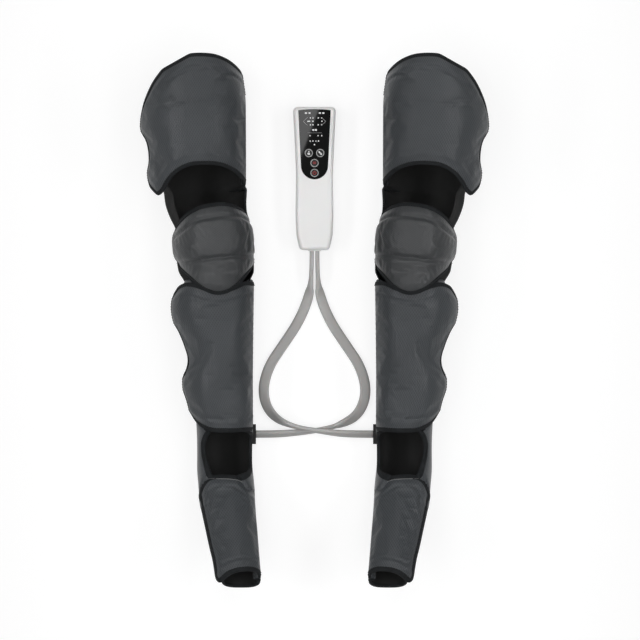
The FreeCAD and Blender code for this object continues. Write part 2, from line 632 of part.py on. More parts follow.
def pump_parts():
    """Motor, diaphragm pump, two air valves and the tubes to the hose collar."""
    base = CASE_WALL + LAYER_GAP
    motor = cylinder(MOTOR_R, MOTOR_LENGTH, 0.0, MOTOR_START, MOTOR_Z, ALONG)
    motor = motor.fuse(cylinder(MOTOR_NOSE_R, MOTOR_NOSE_LENGTH, 0.0, MOTOR_START + MOTOR_LENGTH, MOTOR_Z, ALONG))
    pump_end = MOTOR_START - LAYER_GAP
    pump_low = pump_end - PUMP_LENGTH
    pump = round_along(block(PUMP_SIDE / 2, pump_low, pump_end, base, base + PUMP_H), PUMP_ROUND)
    valve_end = pump_low - NOZZLE_LENGTH
    valve_low = valve_end - VALVE_LENGTH
    valves, tubes = [], []
    for side in (-1, 1):
        x = side * (VALVE_SIDE + NEIGHBOUR_GAP) / 2
        valves.append(block(VALVE_SIDE / 2, valve_low, valve_end, base, base + VALVE_H, x))
        pump = pump.fuse(cylinder(TUBE_R, NOZZLE_LENGTH, x, valve_end, base + VALVE_H / 2, ALONG))
        outside, bore = (cylinder(r, valve_low - COLLAR_BACK, side * HOSE_PITCH / 2, COLLAR_BACK, HOSE_EXIT_Z, ALONG)
                         for r in (TUBE_R, TUBE_BORE))
        tubes.append(outside.cut(bore))
    return {
        "pump_motor": motor,
        "air_pump": pump,
        "air_valves": Part.makeCompound(valves),
        "inner_air_tubes": Part.makeCompound(tubes),
    }


def battery_cells():
    """Two round cells side by side under the circuit board."""
    x = CELL_R + NEIGHBOUR_GAP / 4
    z = CASE_WALL + LAYER_GAP + CELL_R
    return Part.makeCompound([cylinder(CELL_R, CELL_LENGTH, side * x, CELL_START, z, ALONG) for side in (-1, 1)])


def charging_port():
    """Metal shell, closed at the back, with a contact tongue inside."""
    inner = port_block(-PORT_WALL, PORT_DEPTH)
    inner.translate(ALONG * 3 * PORT_WALL)
    tongue = block(TONGUE_HALF, CASE_END - PORT_DEPTH, CASE_END - 3 * PORT_WALL,
                   PORT_Z - TONGUE_H / 2, PORT_Z + TONGUE_H / 2)
    return port_block(0.0, PORT_DEPTH).cut(inner).fuse(tongue).removeSplitter()


def controller_parts():
    upper, lower = case_halves()
    panel = panel_prism(PANEL_GAP, PANEL_FLOOR_Z, PANEL_FLOOR_Z + PANEL_WALL)
    for x, d in BUTTONS.values():
        panel = panel.cut(cylinder(BUTTON_R + BUTTON_GAP, 20.0, x, d, PANEL_FLOOR_Z - 5.0))
    parts = {
        "case_top": upper,
        "case_bottom": lower,
        "control_panel": panel,
        "case_screws": Part.makeCompound([screw_solid(x, d) for x, d in SCREWS]),
        "hose_collar": hose_collar(),
        "charging_port": charging_port(),
        "battery_cells": battery_cells(),
    }
    parts.update({name: button_solid(x, d) for name, (x, d) in BUTTONS.items()})
    parts.update(board_parts())
    parts.update(pump_parts())
    return parts


# ---------------------------------------------------------------- hoses
def hose(route):
    """A round tube along straight runs joined by tangent arcs."""
    points = [V(x, y_at(d), z) for x, d, z in route]

    def arc_radius(i, back, ahead, turn):
        radius = 0.45 * min(back.Length, ahead.Length) / math.tan(turn / 2)
        print(f"  corner {i}: radius {radius:.0f}")
        return radius

    path = tangent_path(points, arc_radius, False)
    section = Part.Wire([Part.makeCircle(HOSE_D / 2, points[0], points[1] - points[0])])
    tube = path.makePipeShell([section], True, False)
    expected = math.pi * (HOSE_D / 2) ** 2 * path.Length
    print(f"  length {path.Length:.0f}, volume over section times length {tube.Volume / expected:.4f}")
    return tube


# ---------------------------------------------------------------- all parts
def all_parts():
    wrap = {}
    for build in (thigh_parts, knee_parts, calf_parts, foot_parts):
        wrap.update(build())
    wrap["hose_inlet"] = hose_inlet()
    parts = {}
    for name, shape in wrap.items():
        parts[name + "_right"] = shape
        parts[name + "_left"] = shape.mirror(V(0, 0, 0), V(1, 0, 0))
    parts.update(controller_parts())
    for name, route in (("hose_to_left", HOSE_TO_LEFT_ROUTE), ("hose_to_right", HOSE_TO_RIGHT_ROUTE)):
        print(name)
        parts[name] = hose(route)
    return parts


def main():
    os.makedirs("parts", exist_ok=True)
    for name, shape in all_parts().items():
        solids = shape.Solids
        volume = sum(s.Volume for s in solids) / 1000
        state = "" if solids and shape.isValid() else " INVALID"
        print(f"{name}: {len(solids)} solids, {len(shape.Faces)} faces, {volume:.2f} cm3{state}")
        kept = solids[0] if len(solids) == 1 else Part.makeCompound(solids)
        kept.exportStep(os.path.join("parts", name + ".step"))


main()
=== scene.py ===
"""Leg compression set: the visual model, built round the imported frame.

Two mirror-image leg wraps, a handheld controller and two ribbon hoses. Sizes in this file are in
millimetres, in the frame's own axes, and become metres when a mesh is made. A wrap is built once, for the
side at +X, and mirrored.
"""
import logging
import math
from collections.abc import Callable
from dataclasses import dataclass, field, replace
from enum import Enum
from functools import cached_property
from typing import ClassVar

import bmesh
import bpy
import numpy as np
from bpy.types import Material, Node, NodeSocket, NodeTree, Object
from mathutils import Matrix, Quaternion, Vector
from mathutils.geometry import delaunay_2d_cdt


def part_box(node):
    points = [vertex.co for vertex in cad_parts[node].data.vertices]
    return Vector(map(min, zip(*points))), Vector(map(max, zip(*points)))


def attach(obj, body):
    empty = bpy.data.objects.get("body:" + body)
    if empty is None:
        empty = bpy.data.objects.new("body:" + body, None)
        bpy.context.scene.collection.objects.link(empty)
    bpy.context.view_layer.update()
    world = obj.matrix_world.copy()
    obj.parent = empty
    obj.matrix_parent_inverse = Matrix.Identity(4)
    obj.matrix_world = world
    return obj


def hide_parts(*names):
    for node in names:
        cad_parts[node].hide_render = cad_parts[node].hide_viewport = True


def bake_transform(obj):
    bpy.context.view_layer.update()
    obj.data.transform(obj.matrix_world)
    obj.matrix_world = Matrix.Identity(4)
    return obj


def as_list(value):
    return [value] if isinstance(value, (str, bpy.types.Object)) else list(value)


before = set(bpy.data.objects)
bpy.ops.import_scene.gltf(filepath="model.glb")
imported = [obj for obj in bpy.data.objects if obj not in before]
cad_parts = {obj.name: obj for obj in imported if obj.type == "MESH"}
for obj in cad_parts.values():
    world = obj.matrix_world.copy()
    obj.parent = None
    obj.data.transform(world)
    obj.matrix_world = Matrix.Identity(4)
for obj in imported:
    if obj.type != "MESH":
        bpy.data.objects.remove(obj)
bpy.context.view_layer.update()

Array = np.ndarray
Pair = tuple[float, float]
Triple = tuple[float, float, float]
Run = list[Pair]
Place = Callable[[Array, Array, Array], Array]
log = logging.getLogger("leg_set")

MM = 0.001
TOE_Y = -401.0                      # the wraps' toe ends
HEEL_FROM_TOES = 158.0
HEEL_Y = TOE_Y + HEEL_FROM_TOES
FOLD_Z = 3.0                        # the heel fold's height
FOOT_TILT = math.radians(30.0)
BACK_SHIFT = 2.9                    # how far the back panels' middle lies under the flaps'
FLOOR_GAP = 0.25                    # the least height of the cloth over the floor
FINE_POINTS = 400                   # on a smooth line before it is evened


class Side(Enum):
    """Which wrap a piece belongs to, with the sign of its X."""

    RIGHT = 1
    LEFT = -1

    def of(self, word: str) -> str:
        """A piece's, node's or body's name on this side."""
        return f"{word}_{self.name.lower()}"


# ---------------------------------------------------------------- finishes
class Nodes:
    """A short way to write a node tree."""

    def __init__(self, tree: NodeTree) -> None:
        """Keeps the tree."""
        self.tree = tree

    def fill(self, socket: NodeSocket, value: object) -> None:
        """Links an input to an output socket, or gives it a value.

        Args:
            socket: the input.
            value: another node's output socket, or a plain value.
        """
        if isinstance(value, NodeSocket):
            self.tree.links.new(value, socket)
        else:
            socket.default_value = value

    def add(self, kind: str, inputs: dict[str | int, object] | None = None, **props: object) -> Node:
        """Adds a node.

        Args:
            kind: the node's type name, which for a shader node may leave out "ShaderNode".
            inputs: socket name or index to a value or to another node's output socket.
            props: properties of the node itself.

        Returns:
            The new node.
        """
        node = self.tree.nodes.new(kind if "Node" in kind else "ShaderNode" + kind)
        for key, value in props.items():
            setattr(node, key, value)
        for key, value in (inputs or {}).items():
            self.fill(node.inputs[key], value)
        return node

    def math(self, operation: str, a: object, b: object = 0.0) -> NodeSocket:
        """A Math node's output, from two values or sockets."""
        return self.add("Math", {0: a, 1: b}, operation=operation).outputs[0]

    def ranged(self, value: object, **limits: object) -> NodeSocket:
        """A Map Range node's output. Its limits are named with underscores for spaces."""
        inputs = {key.replace("_", " "): limit for key, limit in limits.items()}
        return self.add("MapRange", {"Value": value, **inputs}).outputs[0]


class Skin(Nodes):
    """A material's node tree round one Principled shader."""

    def __init__(self, name: str) -> None:
        """Starts the material.

        Args:
            name: the material's name.
        """
        self.material = bpy.data.materials.new(name)
        self.material.use_nodes = True
        super().__init__(self.material.node_tree)

    def done(self, **inputs: object) -> Material:
        """Fills the shader's own sockets.

        Args:
            inputs: values or output sockets, by socket name with underscores for spaces.

        Returns:
            The finished material.
        """
        for key, value in inputs.items():
            self.fill(self.tree.nodes["Principled BSDF"].inputs[key.replace("_", " ")], value)
        return self.material

    def uv(self) -> tuple[NodeSocket, NodeSocket]:
        """The two numbers of the piece's UV map, in metres."""
        split = self.add("SeparateXYZ", {0: self.add("TexCoord").outputs["UV"]})
        return split.outputs[0], split.outputs[1]

    def mix(self, factor: object, low: Triple, high: Triple) -> NodeSocket:
        """A colour between two colours."""
        inputs = {"Factor": factor, 6: (*low, 1.0), 7: (*high, 1.0)}
        return self.add("Mix", inputs, data_type="RGBA").outputs[2]

    def noise(self, scale: float, detail: float = 2.0) -> NodeSocket:
        """A Noise Texture's value on Object coordinates."""
        place = self.add("TexCoord").outputs["Object"]
        return self.add("TexNoise", {"Vector": place, "Scale": scale, "Detail": detail}).outputs["Fac"]

    def bump(self, height: object, strength: float, distance: float) -> NodeSocket:
        """A Bump node's normal, with its distance in millimetres."""
        inputs = {"Height": height, "Strength": strength, "Distance": distance * MM}
        return self.add("Bump", inputs).outputs["Normal"]


def grey(level: float, warm: float = 0.0) -> Triple:
    """A linear near-grey.

    Args:
        level: its brightness on screen, from 0 to 1.
        warm: how much is added to red and taken from blue.

    Returns:
        Red, green and blue.
    """
    def linear(c: float) -> float:
        """The linear value of a screen value."""
        return c / 12.92 if c <= 0.04045 else ((c + 0.055) / 1.055) ** 2.4
    return linear(level + warm), linear(level), linear(level - warm)


def scaled(colour: Triple, share: float) -> Triple:
    """A colour made lighter or darker."""
    return tuple(min(1.0, c * share) for c in colour)


@dataclass(frozen=True)
class MeshWeave:
    """Spacer mesh cloth with staggered rows of small dark eyelets, read from the piece's UV map."""

    name: str
    thread: Triple
    pit: Triple
    around: float = 3.7
    along: float = 5.8
    relief: float = 0.3
    roughness: float = 0.35
    gloss: float = 0.25

    def build(self) -> Material:
        """Makes the material.

        Returns:
            The material: eyelets where two slightly uneven waves meet, on thread with a fine grain and
            broad wear.
        """
        n = Skin(self.name)
        drift = n.math("MULTIPLY", n.noise(11.0), 5.0)
        waves = [n.math("COSINE", n.math("ADD", n.math("MULTIPLY", at, math.tau / (pitch * MM)), drift))
                 for at, pitch in zip(n.uv(), (self.around, self.along))]
        thread = n.ranged(n.math("MULTIPLY", *waves), From_Min=0.75, From_Max=-0.35)
        height = n.math("ADD", thread, n.math("MULTIPLY", n.noise(1100.0, 1.0), 0.35))
        worn = n.ranged(n.noise(9.0, 3.0), From_Min=0.3, From_Max=0.7, To_Min=0.9, To_Max=1.1)
        colour = n.mix(thread, self.pit, self.thread)
        tint = n.add("VectorMath", {0: colour, "Scale": worn}, operation="SCALE")
        return n.done(Base_Color=tint.outputs[0], Roughness=self.roughness, Specular_IOR_Level=self.gloss,
                      Sheen_Weight=0.03, Sheen_Roughness=0.5, Normal=n.bump(height, 0.55, self.relief))


@dataclass(frozen=True)
class PlainCloth:
    """Close knitted or brushed cloth with a fine grain."""

    name: str
    colour: Triple
    roughness: float = 0.8
    sheen: float = 0.3
    grain: float = 1400.0
    gloss: float = 0.2

    def build(self) -> Material:
        """Makes the material.

        Returns:
            The material: broad changes of tone, and a fine bump.
        """
        n = Skin(self.name)
        colour = n.mix(n.noise(18.0, 3.0), scaled(self.colour, 0.75), scaled(self.colour, 1.3))
        return n.done(Base_Color=colour, Roughness=self.roughness, Specular_IOR_Level=self.gloss,
                      Sheen_Weight=self.sheen, Sheen_Roughness=0.6,
                      Normal=n.bump(n.noise(self.grain), 0.5, 0.15))


@dataclass(frozen=True)
class BindingTape:
    """Ribbed edge tape. Its UV map runs along the tape and across it."""

    name: str
    colour: Triple
    rib: float = 0.9

    def build(self) -> Material:
        """Makes the material.

        Returns:
            The material: slanted ribs with a fine grain.
        """
        n = Skin(self.name)
        along, across = n.uv()
        slant = n.math("ADD", n.math("MULTIPLY", along, math.tau / (self.rib * MM)),
                       n.math("MULTIPLY", across, math.pi / (self.rib * MM)))
        height = n.math("ADD", n.math("SINE", slant), n.noise(1500.0, 1.0))
        colour = n.mix(n.noise(60.0), scaled(self.colour, 0.7), scaled(self.colour, 1.35))
        return n.done(Base_Color=colour, Roughness=0.7, Specular_IOR_Level=0.05, Sheen_Weight=0.02,
                      Normal=n.bump(height, 0.45, 0.12))


@dataclass(frozen=True)
class Moulded:
    """Moulded plastic or rubber with a faint spark-eroded texture and slight wear in its gloss."""

    name: str
    colour: Triple
    roughness: float = 0.35
    coat: float = 0.0
    texture: float = 0.02
    subsurface: float = 0.0

    def build(self) -> Material:
        """Makes the material.

        Returns:
            The material: uneven gloss and tone, and a very fine bump.
        """
        n = Skin(self.name)
        smear = n.ranged(n.noise(35.0, 4.0), To_Min=self.roughness * 0.85, To_Max=self.roughness * 1.2)
        tone = n.mix(n.noise(12.0, 3.0), scaled(self.colour, 0.97), self.colour)
        return n.done(Base_Color=tone, Roughness=smear, Coat_Weight=self.coat, Coat_Roughness=0.04,
                      Subsurface_Weight=self.subsurface, Subsurface_Scale=0.002,
                      Normal=n.bump(n.noise(2200.0, 1.0), 0.25, self.texture))


@dataclass(frozen=True)
class Metal:
    """Plain drawn or plated metal."""

    name: str
    colour: Triple
    roughness: float = 0.3

    def build(self) -> Material:
        """Makes the material.

        Returns:
            The material: one colour with uneven gloss.
        """
        n = Skin(self.name)
        rough = n.ranged(n.noise(400.0, 3.0), To_Min=self.roughness * 0.8, To_Max=self.roughness * 1.3)
        return n.done(Base_Color=(*self.colour, 1.0), Metallic=1.0, Roughness=rough,
                      Normal=n.bump(n.noise(900.0), 0.1, 0.02))


class Finish(Enum):
    """Every finish of the set, built when it is first asked for."""

    WRAP = MeshWeave("wrap_mesh_cloth", grey(0.280, -0.012), grey(0.225, -0.010))
    PAD = MeshWeave("knee_pad_mesh_cloth", grey(0.20, -0.009), grey(0.15, -0.006), 4.2, 2.5, 0.4, 0.32, 0.55)
    LINING = PlainCloth("black_lining", grey(0.18), 0.6, 0.0, 1400.0, 0.03)
    STRETCH = PlainCloth("black_stretch_cloth", grey(0.20), 0.6, 0.0, 2000.0, 0.03)
    BINDING = BindingTape("black_binding", grey(0.15, -0.006))
    DARK_THREAD = PlainCloth("dark_thread", grey(0.10), 0.7, 0.1)
    # pale cord on the foot flap: its light grey is painted highlight, standing for the flap's lip and puckers
    # catching light
    SEAM_CORD = PlainCloth("light_seam_cord", grey(0.47), 0.7, 0.1)
    HOOK = PlainCloth("hook_tape_pile", grey(0.09), 0.9, 0.6, 700.0)
    HOSE = Moulded("grey_silicone", grey(0.69, 0.006), 0.5, 0.0, 0.01, 0.1)
    BOOT = Moulded("black_rubber", grey(0.10), 0.6, 0.0, 0.05)
    CASE = Moulded("white_case_plastic", grey(0.94, 0.002), 0.36, 0.15, 0.01, 0.05)
    PANEL = Moulded("glossy_black_panel", grey(0.03), 0.02, 0.0, 0.0)
    KEY = Moulded("black_key_plastic", grey(0.035), 0.12, 0.0, 0.0)
    RING = Moulded("grey_key_ring", grey(0.62), 0.35, 0.0, 0.0)
    MARK = Moulded("white_print", grey(0.93), 0.5, 0.0, 0.0)
    RED_MARK = Moulded("red_print", (0.28, 0.012, 0.012), 0.5, 0.0, 0.0)
    STEEL = Metal("plated_steel", grey(0.72), 0.3)
    BOARD = Moulded("green_board", (0.02, 0.12, 0.05), 0.4, 0.2)
    PART = Moulded("black_component", grey(0.12), 0.5)
    LAMP = Moulded("clear_lamp", grey(0.88), 0.15, 0.3)
    CELL = Moulded("blue_cell_sleeve", (0.03, 0.12, 0.35), 0.35)
    TUBE = Moulded("clear_tube", grey(0.82), 0.3)

    @property
    def material(self) -> Material:
        """The finish's material."""
        return bpy.data.materials.get(self.value.name) or self.value.build()


# ---------------------------------------------------------------- lines and tracks
@dataclass(frozen=True)
class Track:
    """A size that changes smoothly along a wrap, from (distance, value) pairs."""

    points: tuple[Pair, ...]

    def __call__(self, at: Array | float) -> Array:
        """The value at each distance.

        Args:
            at: one distance or more.

        Returns:
            As many values.
        """
        xs, ys = np.array(self.points, float).T
        if len(xs) < 3:
            return np.interp(at, xs, ys)
        return hermite(xs, ys, np.asarray(at, float))


def hermite(xs: Array, ys: Array, at: Array) -> Array:
    """A smooth curve through values.

    Args:
        xs: increasing places.
        ys: the value at each place, one number or one row each.
        at: where the curve is read.

    Returns:
        The curve's values at those places.
    """
    slope = np.gradient(ys, xs, axis=0)
    i = np.clip(np.searchsorted(xs, at) - 1, 0, len(xs) - 2)
    step = xs[i + 1] - xs[i]
    t = np.clip((at - xs[i]) / step, 0.0, 1.0)
    if ys.ndim > 1:
        t, step = t[:, None], step[:, None]
    return ((1 + 2 * t) * (1 - t) ** 2 * ys[i] + t * (1 - t) ** 2 * step * slope[i]
            + t * t * (3 - 2 * t) * ys[i + 1] + t * t * (t - 1) * step * slope[i + 1])


def travelled(line: Array) -> Array:
    """The distance along a line at each of its points."""
    return np.concatenate([[0.0], np.cumsum(np.linalg.norm(np.diff(line, axis=0), axis=1))])


def smooth_run(points: Run, spacing: float) -> Array:
    """A smooth line through points, or a straight one through two.

    Args:
        points: the points it passes.
        spacing: from one point of the line to the next.

    Returns:
        The line's points, evenly spaced.
    """
    pts = np.array(points, float)
    at = travelled(pts)
    fine = np.linspace(0.0, at[-1], FINE_POINTS)
    if len(pts) > 2:
        return even(hermite(at, pts, fine), spacing)
    return even(np.stack([np.interp(fine, at, pts[:, k]) for k in (0, 1)], axis=1), spacing)


def even(line: Array, spacing: float) -> Array:
    """The line again, with points evenly spaced.

    Args:
        line: its points.
        spacing: about how far apart the new ones are.

    Returns:
        The new points. The line's two ends are kept.
    """
    at = travelled(line)
    count = max(2, int(round(at[-1] / spacing)) + 1)
    steps = np.linspace(0.0, at[-1], count)
    return np.stack([np.interp(steps, at, line[:, k]) for k in range(line.shape[1])], axis=1)


def softened(line: Array, rounds: int, closed: bool = False) -> Array:
    """The line with its corners rounded.

    Args:
        line: its points, or any values along it.
        rounds: how often each point is averaged with its neighbours.
        closed: whether the last point is next to the first. If it isn't, the two ends are kept.

    Returns:
        As many points.
    """
    out = line.copy()
    for _ in range(rounds):
        if closed:
            out = (np.roll(out, 1, axis=0) + 2 * out + np.roll(out, -1, axis=0)) / 4
        else:
            out[1:-1] = (out[:-2] + 2 * out[1:-1] + out[2:]) / 4
    return out


def inside(points: Array, loop: Array) -> Array:
    """Which points lie inside a closed loop.

    Args:
        points: in the loop's plane.
        loop: its corners in order.

    Returns:
        True or False for each point.
    """
    x, y = points[:, 0][:, None], points[:, 1][:, None]
    x0, y0 = loop[:, 0], loop[:, 1]
    x1, y1 = np.roll(x0, -1), np.roll(y0, -1)
    spans = (y0 > y) != (y1 > y)
    cross = (x1 - x0) * (y - y0) / np.where(y1 == y0, 1e-12, y1 - y0) + x0
    return (spans & (x < cross)).sum(axis=1) % 2 == 1


def distance_to(points: Array, line: Array, closed: bool) -> Array:
    """How far each point is from a line in the plane.

    Args:
        points: the points.
        line: the line's own points.
        closed: whether its last point joins its first.

    Returns:
        A distance for each point.
    """
    a = line if closed else line[:-1]
    b = np.roll(line, -1, axis=0) if closed else line[1:]
    best = np.full(len(points), np.inf)
    for start, end in zip(a, b):
        d = end - start
        t = np.clip(((points - start) @ d) / max(d @ d, 1e-12), 0.0, 1.0)
        best = np.minimum(best, np.linalg.norm(points - start - t[:, None] * d, axis=1))
    return best


def away_from(loop: Array) -> Array:
    """The way out of a closed loop at each of its points.

    Args:
        loop: its points, running either way round.

    Returns:
        Unit vectors.
    """
    tangent = np.roll(loop, -1, axis=0) - np.roll(loop, 1, axis=0)
    tangent /= np.maximum(np.linalg.norm(tangent, axis=1), 1e-9)[:, None]
    turned = np.stack([tangent[:, 1], -tangent[:, 0]], axis=1)
    x, y = loop[:, 0], loop[:, 1]
    area = (x * np.roll(y, -1) - np.roll(x, -1) * y).sum()
    return turned if area > 0 else -turned


def steadied(ways: Array) -> Array:
    """Unit vectors along a line, each evened with its neighbours."""
    ways = softened(ways, 4)
    return ways / np.linalg.norm(ways, axis=1)[:, None]


def eased(t: Array) -> Array:
    """A smooth step from 0 to 1."""
    t = np.clip(t, 0.0, 1.0)
    return t * t * (3 - 2 * t)


def powered(value: Array, power: float) -> Array:
    """A value's size raised to a power, with its sign kept."""
    return np.sign(value) * np.abs(value) ** power


# ---------------------------------------------------------------- making objects
@dataclass
class Sheet:
    """A mesh before it becomes an object: corners, faces, a UV pair for each corner, a slot for each face."""

    verts: Array
    faces: list[tuple[int, ...]]
    uvs: Array
    slots: list[int]

    def joined(self, other: "Sheet") -> "Sheet":
        """This mesh and another as one.

        Args:
            other: the other mesh.

        Returns:
            A new mesh.
        """
        shift = len(self.verts)
        faces = self.faces + [tuple(i + shift for i in f) for f in other.faces]
        return Sheet(np.vstack([self.verts, other.verts]), faces, np.vstack([self.uvs, other.uvs]),
                     self.slots + other.slots)


def make_object(name: str, sheet: Sheet, finishes: list[Finish], side: Side, smooth: bool = True) -> Object:
    """Turns a closed mesh into a Blender object.

    Args:
        name: the piece's name.
        sheet: its mesh, for the side at +X.
        finishes: one for each slot number the faces use.
        side: the side it is for.
        smooth: whether its faces are shaded smooth.

    Returns:
        The object, at the origin, with its place in its mesh and its faces pointing outwards.
    """
    verts = sheet.verts * MM
    faces = sheet.faces
    if side is Side.LEFT:
        verts = verts * np.array([-1.0, 1.0, 1.0])
        faces = [tuple(reversed(f)) for f in faces]
    mesh = bpy.data.meshes.new(name)
    mesh.from_pydata(verts.tolist(), [], faces)
    for finish in finishes:
        mesh.materials.append(finish.material)
    mesh.polygons.foreach_set("material_index", sheet.slots)
    mesh.polygons.foreach_set("use_smooth", [smooth] * len(mesh.polygons))
    layer = mesh.uv_layers.new(name="UVMap")
    corner = np.zeros(len(mesh.loops), np.int32)
    mesh.loops.foreach_get("vertex_index", corner)
    layer.data.foreach_set("uv", (sheet.uvs[corner] * MM).astype(np.float32).ravel())
    mesh.update()
    log.info("%s: %d corners", name, len(verts))
    return outward(linked(bpy.data.objects.new(name, mesh)))


def linked(obj: Object) -> Object:
    """Puts an object in the scene."""
    bpy.context.scene.collection.objects.link(obj)
    return obj


def outward(obj: Object) -> Object:
    """Points a closed mesh's faces outwards.

    Args:
        obj: the object whose mesh it is.

    Returns:
        The same object.
    """
    bm = bmesh.new()
    bm.from_mesh(obj.data)
    bmesh.ops.recalc_face_normals(bm, faces=bm.faces)
    bm.to_mesh(obj.data)
    bm.free()
    return obj


def swept(rings: Array, closed: bool) -> Sheet:
    """A closed tube from rings of points.

    Args:
        rings: an array of stations by points by three.
        closed: whether the last station joins the first.

    Returns:
        The mesh, with UVs along and round it.
    """
    stations, around = rings.shape[:2]
    grid = np.meshgrid(travelled(rings[:, 0]), travelled(rings[0]), indexing="ij")
    uvs = np.stack(grid, axis=-1).reshape(-1, 2)
    faces = []
    for i in range(stations if closed else stations - 1):
        a, b = i * around, ((i + 1) % stations) * around
        for k in range(around):
            m = (k + 1) % around
            faces.append((a + k, a + m, b + m, b + k))
    if not closed:
        faces.append(tuple(reversed(range(around))))
        faces.append(tuple((stations - 1) * around + k for k in range(around)))
    return Sheet(rings.reshape(-1, 3), faces, uvs, [0] * len(faces))


def prism(loop: Array, low: float, high: float) -> Sheet:
    """A flat sign.

    Args:
        loop: its convex outline from above.
        low: its underside's height.
        high: its top's height.

    Returns:
        The mesh.
    """
    count = len(loop)
    verts = np.vstack([np.column_stack([loop, np.full(count, z)]) for z in (low, high)])
    faces = [tuple(reversed(range(count))), tuple(range(count, 2 * count))]
    faces += [(i, (i + 1) % count, count + (i + 1) % count, count + i) for i in range(count)]
    return Sheet(verts, faces, np.vstack([loop, loop]), [0] * len(faces))


# ---------------------------------------------------------------- wrap shapes
def tipped(points: Array) -> Array:
    """Foot points turned up about the heel fold.

    Args:
        points: their places with the foot flat.

    Returns:
        Their places with the toes up.
    """
    y, z = points[:, 1] - HEEL_Y, points[:, 2] - FOLD_Z
    c, s = math.cos(FOOT_TILT), math.sin(FOOT_TILT)
    return np.stack([points[:, 0], HEEL_Y + y * c + z * s, FOLD_Z - y * s + z * c], axis=1)


@dataclass(frozen=True)
class Sleeve:
    """One length of a wrap as a tube: its two sides seen from above, and its radius in height.

    Angles run over the wrap: 0 at the inner side, 90 on top, 180 at the outer side, 270 where it rests.
    Distances run from the toe end, or from the heel for the foot.
    """

    NEAREST: ClassVar[float] = 0.9995   # how near a place seen from above can be to a side, in half widths

    inner: Track
    outer: Track
    back_outer: Track
    rise: Track
    origin_y: float = TOE_Y
    way: int = 1
    power: float = 1.0

    def flap(self, theta: Array, along: Array, depth: Array) -> Array:
        """Points on the flap's side of the tube.

        Args:
            theta: their angles in radians.
            along: their distances.
            depth: how far they are under the outer skin.

        Returns:
            The points.
        """
        inner, outer, rise = self.inner(along), self.outer(along), self.rise(along)
        half = (outer - inner) / 2
        x = inner + half - (half - depth) * np.cos(theta)
        z = rise - BACK_SHIFT + (rise - depth) * np.sin(theta)
        return self.located(x, along, z)

    def back(self, theta: Array, along: Array, depth: Array) -> Array:
        """Points on the back panel's side of the tube.

        Args:
            theta: their angles in radians.
            along: their distances.
            depth: how far they are under the outer skin.

        Returns:
            The points.
        """
        inner, outer, rise = self.inner(along), self.back_outer(along), self.rise(along) - BACK_SHIFT
        half = (outer - inner) / 2
        x = inner + half - (half - depth) * powered(np.cos(theta), self.power)
        z = rise + (rise - depth) * powered(np.sin(theta), self.power)
        return self.located(x, along, np.maximum(z, FLOOR_GAP))

    def located(self, x: Array, along: Array, z: Array) -> Array:
        """Points in the frame's axes."""
        return np.stack([x, self.origin_y + self.way * np.asarray(along) + 0 * x, z], axis=1)

    def angle(self, x: Array, along: Array, depth: Array) -> Array:
        """The angle over the wrap at which the flap is at an X, seen from above.

        Args:
            x: the places.
            along: their distances.
            depth: how far they are under the outer skin.

        Returns:
            The angles in radians.
        """
        inner, outer = self.inner(along), self.outer(along)
        half = (outer - inner) / 2
        return np.arccos(np.clip((inner + half - x) / (half - depth), -self.NEAREST, self.NEAREST))


THIGH = Sleeve(
    inner=Track(((575, 101.4), (700, 101.6), (735, 102.2), (768, 106.5), (805, 111))),
    outer=Track(((575, 247), (605, 251.5), (642, 252), (662, 255), (690, 262), (726, 261), (765, 254),
                 (805, 246))),
    back_outer=Track(((575, 229), (620, 241), (690, 250), (740, 247), (805, 238))),
    rise=Track(((588, 74.25), (803, 80.25))),
)
KNEE = Sleeve(
    inner=Track(((440, 90), (492, 90.4), (511, 91), (538, 94), (552, 97.6), (562, 101.2), (575, 102.4),
                 (590, 101.8), (606, 101), (620, 101))),
    outer=Track(((440, 205), (480, 208), (514, 212.5), (545, 213), (580, 216))),
    back_outer=Track(((440, 199), (474, 204), (490, 206.5), (511, 208.5), (537, 208), (555, 216.5),
                      (573, 223), (600, 226), (620, 227))),
    rise=Track(((460, 60.5), (592, 65))),
)
CALF = Sleeve(
    inner=Track(((140, 90), (168, 92), (213, 92.3), (240, 91.4), (330, 91), (462, 88.9))),
    outer=Track(((225, 180.5), (245, 182), (262, 188), (300, 199), (322, 198.5), (344, 194), (363, 198.5),
                 (382, 206), (401, 213.5), (420, 216.5), (440, 214), (465, 207))),
    back_outer=Track(((140, 176.3), (245, 177.3), (300, 182), (344, 183), (382, 190), (420, 199),
                      (462, 197))),
    rise=Track(((156, 45.75), (459.5, 62.75))),
)
FOOT = Sleeve(
    inner=Track(((0, 89.5), (50, 87.5), (110, 83.5), (185, 78))),
    outer=Track(((0, 181), (30, 181), (54, 178.5), (81, 173.5), (141, 162), (185, 153.5))),
    back_outer=Track(((0, 174), (50, 170), (110, 159), (140, 152.5), (185, 140.7))),
    rise=Track(((0, 43.75), (181, 32.75))),
    origin_y=HEEL_Y,
    way=-1,
    power=0.64,
)


@dataclass
class Outline:
    """A flap's free edge, from its hinge's start to its end.

    Its runs are pairs of X and distance from the toes, seen from above. The hinge's two ends are distances
    along the sleeve. Runs whose numbers are in bare carry no binding.
    """

    runs: list[Run]
    hinge: Pair
    bare: tuple[int, ...] = ()


